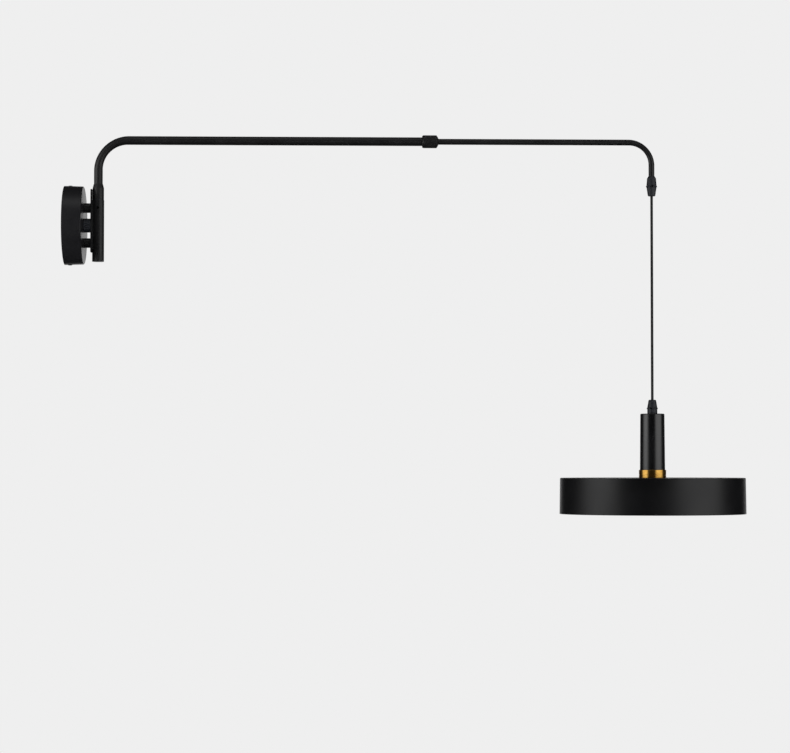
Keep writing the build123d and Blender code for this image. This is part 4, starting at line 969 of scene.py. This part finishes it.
class WALL_LIGHT_OT_fittings(bpy.types.Operator):
    """Finishes on the CAD pieces that keep their shape, by the record's material slots"""

    bl_idname = "wall_light.fittings"
    bl_label = "Fittings"

    def execute(self, context):
        slots = {part["node"]: part["material_slot"] for part in frame["record"]["subparts"]}
        for name, node in frame["nodes"].items():
            if name not in slots:
                raise RuntimeError(f"{name} has no material slot in the record")
            node.data.materials.clear()
            node.data.materials.append(finish(SLOT_FINISHES[slots[name]]))
        return {"FINISHED"}


# Width of the camera's sensor in millimetres
SENSOR_WIDTH = 36.0

# What glossy pieces mirror as backdrop: how far its middle is turned from +Y toward +X, and the cosines of
# the angles from there at which it starts and is whole
BACKDROP_TURN = radians(7.5)
BACKDROP_MIDDLE = (sin(BACKDROP_TURN), cos(BACKDROP_TURN), 0.0)
BACKDROP_EDGE = (0.88, 0.97)

# How far the camera sees the floor lifted toward the backdrop, so that only its shadows are darker
FLOOR_LIFT = 0.42
FLOOR_ROUGHNESS = 0.9
FLOOR_SPECULAR = 0.1
# Share of the floor's radius within which it hasn't begun to fade
FLOOR_WHOLE = 1 / 3

# Softboxes: direction from the object in degrees (round from the front to +X, up), then distance, width
# and height in metres, and share of the stage's brightness
SOFTBOXES = {
    "softbox_left": (-72.5, 0, 2.9, 4.3, 3.6, 0.86),
    "softbox_right": (55, 0, 2.9, 4.4, 3.6, 0.8),
    "softbox_top": (0, 68, 2.9, 4.0, 2.0, 0.5),
    "softbox_near": (-63, 14, 1.05, 0.45, 1.1, 0.8),
    "front_fill": (0, -12, 3.5, 4.4, 2.2, 2.2),
}
# The front fill shows colours at their written level, and no glossy coat mirrors it
UNMIRRORED = ("front_fill",)
# Share of a softbox's half size over which it fades to nothing
SOFTBOX_FADE = 0.6


class WALL_LIGHT_OT_stage(bpy.types.Operator):
    """Camera at the photograph's viewing angle, pale floor and backdrop, and soft studio lights"""

    bl_idname = "wall_light.stage"
    bl_label = "Stage"

    def execute(self, context):
        stage = context.scene.wall_light_stage
        context.scene.view_settings.view_transform = "Standard"
        self.make_camera(context.scene, stage)
        self.make_floor(stage)
        self.make_world(context.scene, stage)
        self.make_lights(stage)
        return {"FINISHED"}

    def make_camera(self, scene, stage):
        """Camera with a long lens at the shade's height, looking up a little toward the arm."""
        lens = bpy.data.cameras.new("camera")
        lens.sensor_width = SENSOR_WIDTH
        lens.lens = stage.camera_lens
        camera = add_object("camera", lens)
        camera.location = stage.camera_place
        camera.rotation_euler = (pi / 2 + stage.camera_tilt, 0, -stage.camera_turn)
        scene.camera = camera

    def make_floor(self, stage):
        """Pale disc, seen from above only, that fades out toward its rim and that glossy pieces see dim."""
        middle = np.array([(cad_box[0][0] + cad_box[1][0]) / 2, 0, stage.floor_height])
        outline = [(0, 0), (0, stage.floor_radius)]
        floor = add_object("floor", mesh_of("floor", [turned(outline, middle, ALONG_Z, ROUND_LARGE)]))
        if floor.data.polygons[0].normal.z < 0:
            floor.data.flip_normals()
        material = bpy.data.materials.new("pale_floor")
        material.use_nodes = True
        tree = material.node_tree
        ray = add_node(tree, "LightPath")
        pale, dim = (*stage.floor_colour, 1.0), (*stage.studio_dim, 1.0)
        shown = add_node(
            tree, "Mix", {MIX_FACTOR: ray["Is Glossy Ray"], MIX_FIRST: pale, MIX_SECOND: dim},
            data_type="RGBA",
        )[MIX_RESULT]
        lift = add_node(tree, "Math", {0: ray["Is Camera Ray"], 1: FLOOR_LIFT}, operation="MULTIPLY")[0]
        place = add_node(tree, "TexCoord")["Object"]
        offset = add_node(tree, "VectorMath", {0: place, 1: middle.tolist()}, operation="DISTANCE")["Value"]
        rim = stage.floor_radius
        whole = add_node(
            tree, "MapRange", {"Value": offset, "From Min": rim, "From Max": rim * FLOOR_WHOLE},
            interpolation_type="SMOOTHSTEP",
        )["Result"]
        below = add_node(tree, "NewGeometry")["Backfacing"]
        alpha = add_node(tree, "Math", {0: whole, 1: below}, operation="SUBTRACT", use_clamp=True)[0]
        set_inputs(
            tree, tree.nodes["Principled BSDF"].inputs,
            {
                "Base Color": shown, "Roughness": FLOOR_ROUGHNESS, SPECULAR: FLOOR_SPECULAR, "Alpha": alpha,
                "Emission Color": (*stage.backdrop, 1.0), "Emission Strength": lift,
            },
        )
        floor.data.materials.append(material)

    def make_world(self, scene, stage):
        """Backdrop for the camera; glossy pieces mirror it behind them and a dim studio elsewhere."""
        world = bpy.data.worlds.new("studio")
        world.use_nodes = True
        tree = world.node_tree
        tree.nodes.clear()
        ray = add_node(tree, "LightPath")
        toward = add_node(tree, "TexCoord")["Generated"]
        facing = add_node(
            tree, "VectorMath", {0: toward, 1: BACKDROP_MIDDLE}, operation="DOT_PRODUCT"
        )["Value"]
        behind = add_node(
            tree, "MapRange", {"Value": facing, "From Min": BACKDROP_EDGE[0], "From Max": BACKDROP_EDGE[1]},
            interpolation_type="SMOOTHSTEP",
        )["Result"]
        pale, dim = (*stage.backdrop, 1.0), (*stage.studio_dim, 1.0)
        mirrored = add_node(
            tree, "Mix", {MIX_FACTOR: behind, MIX_FIRST: dim, MIX_SECOND: pale}, data_type="RGBA"
        )[MIX_RESULT]
        even = add_node(tree, "Background", {"Strength": stage.fill, "Color": (1.0, 1.0, 1.0, 1.0)})[0]
        glossy = add_node(tree, "Background", {"Color": mirrored})[0]
        seen = add_node(tree, "Background", {"Color": pale})[0]
        mirror_ray = add_node(
            tree, "Math", {0: ray["Is Glossy Ray"], 1: ray["Is Transmission Ray"]}, operation="MAXIMUM"
        )[0]
        lit = add_node(tree, "MixShader", {0: mirror_ray, 1: even, 2: glossy})[0]
        shown = add_node(tree, "MixShader", {0: ray["Is Camera Ray"], 1: lit, 2: seen})[0]
        add_node(tree, "OutputWorld", {"Surface": shown})
        scene.world = world

    def soften(self, light):
        """Let a softbox fade from its core to its edges.

        Its brightness is smoothstep((1 - place) / SOFTBOX_FADE), where place runs from 0 in its middle to 1.
        """
        light.use_nodes = True
        tree = light.node_tree
        across = add_node(tree, "NewGeometry")["Parametric"]
        place = add_node(
            tree, "VectorMath", {0: across, 1: (2, 2, 0), 2: (-1, -1, 0)}, operation="MULTIPLY_ADD"
        )["Vector"]
        inward = add_node(tree, "TexGradient", {"Vector": place}, gradient_type="SPHERICAL")["Fac"]
        glow = add_node(
            tree, "MapRange", {"Value": inward, "From Max": SOFTBOX_FADE}, interpolation_type="SMOOTHSTEP"
        )["Result"]
        set_inputs(tree, tree.nodes["Emission"].inputs, {"Strength": glow})

    def make_lights(self, stage):
        """Softboxes that face the object's middle: power = pi * width * height * brightness."""
        middle = (np.array(cad_box[0]) + np.array(cad_box[1])) / 2
        for name, (turn, rise, distance, width, height, share) in SOFTBOXES.items():
            turn, rise = radians(turn), radians(rise)
            outward = Vector((sin(turn) * cos(rise), -cos(turn) * cos(rise), sin(rise)))
            light = bpy.data.lights.new(name, "AREA")
            light.shape = "RECTANGLE"
            light.size, light.size_y = width, height
            light.energy = pi * width * height * share * stage.softbox_light
            self.soften(light)
            lamp = add_object(name, light)
            lamp.location = Vector(middle) + outward * distance
            lamp.rotation_euler = (-outward).to_track_quat("-Z", "Y").to_euler()
            lamp.visible_camera = False
            lamp.visible_glossy = name not in UNMIRRORED


STEPS = (
    WALL_LIGHT_OT_cord, WALL_LIGHT_OT_canopy, WALL_LIGHT_OT_bracket, WALL_LIGHT_OT_arm,
    WALL_LIGHT_OT_lock_nut, WALL_LIGHT_OT_extension, WALL_LIGHT_OT_cord_grips, WALL_LIGHT_OT_lamp_holder,
    WALL_LIGHT_OT_shade, WALL_LIGHT_OT_bulb, WALL_LIGHT_OT_fittings, WALL_LIGHT_OT_stage,
)
GROUPS = {
    "wall_light_sizes": WallLightSizes,
    "wall_light_colours": WallLightColours,
    "wall_light_stage": WallLightStage,
}


class WALL_LIGHT_PT_sidebar(bpy.types.Panel):
    """Steps that build the wall light, and the values that they use"""

    bl_idname = "WALL_LIGHT_PT_sidebar"
    bl_label = "Wall light"
    bl_space_type = "VIEW_3D"
    bl_region_type = "UI"
    bl_category = "Wall light"

    def draw(self, context):
        for step in STEPS:
            self.layout.operator(step.bl_idname)
        for key, group in GROUPS.items():
            values = getattr(context.scene, key)
            for name in group.__annotations__:
                self.layout.prop(values, name)


def register():
    for item in (*GROUPS.values(), *STEPS, WALL_LIGHT_PT_sidebar):
        bpy.utils.register_class(item)
    for key, group in GROUPS.items():
        setattr(bpy.types.Scene, key, bpy.props.PointerProperty(type=group))


def unregister():
    for key in GROUPS:
        delattr(bpy.types.Scene, key)
    for item in (WALL_LIGHT_PT_sidebar, *reversed(STEPS), *GROUPS.values()):
        bpy.utils.unregister_class(item)


def main():
    """Build everything in order."""
    register()
    for step in STEPS:
        category, name = step.bl_idname.split(".")
        getattr(getattr(bpy.ops, category), name)()


if __name__ == "__main__":
    main()
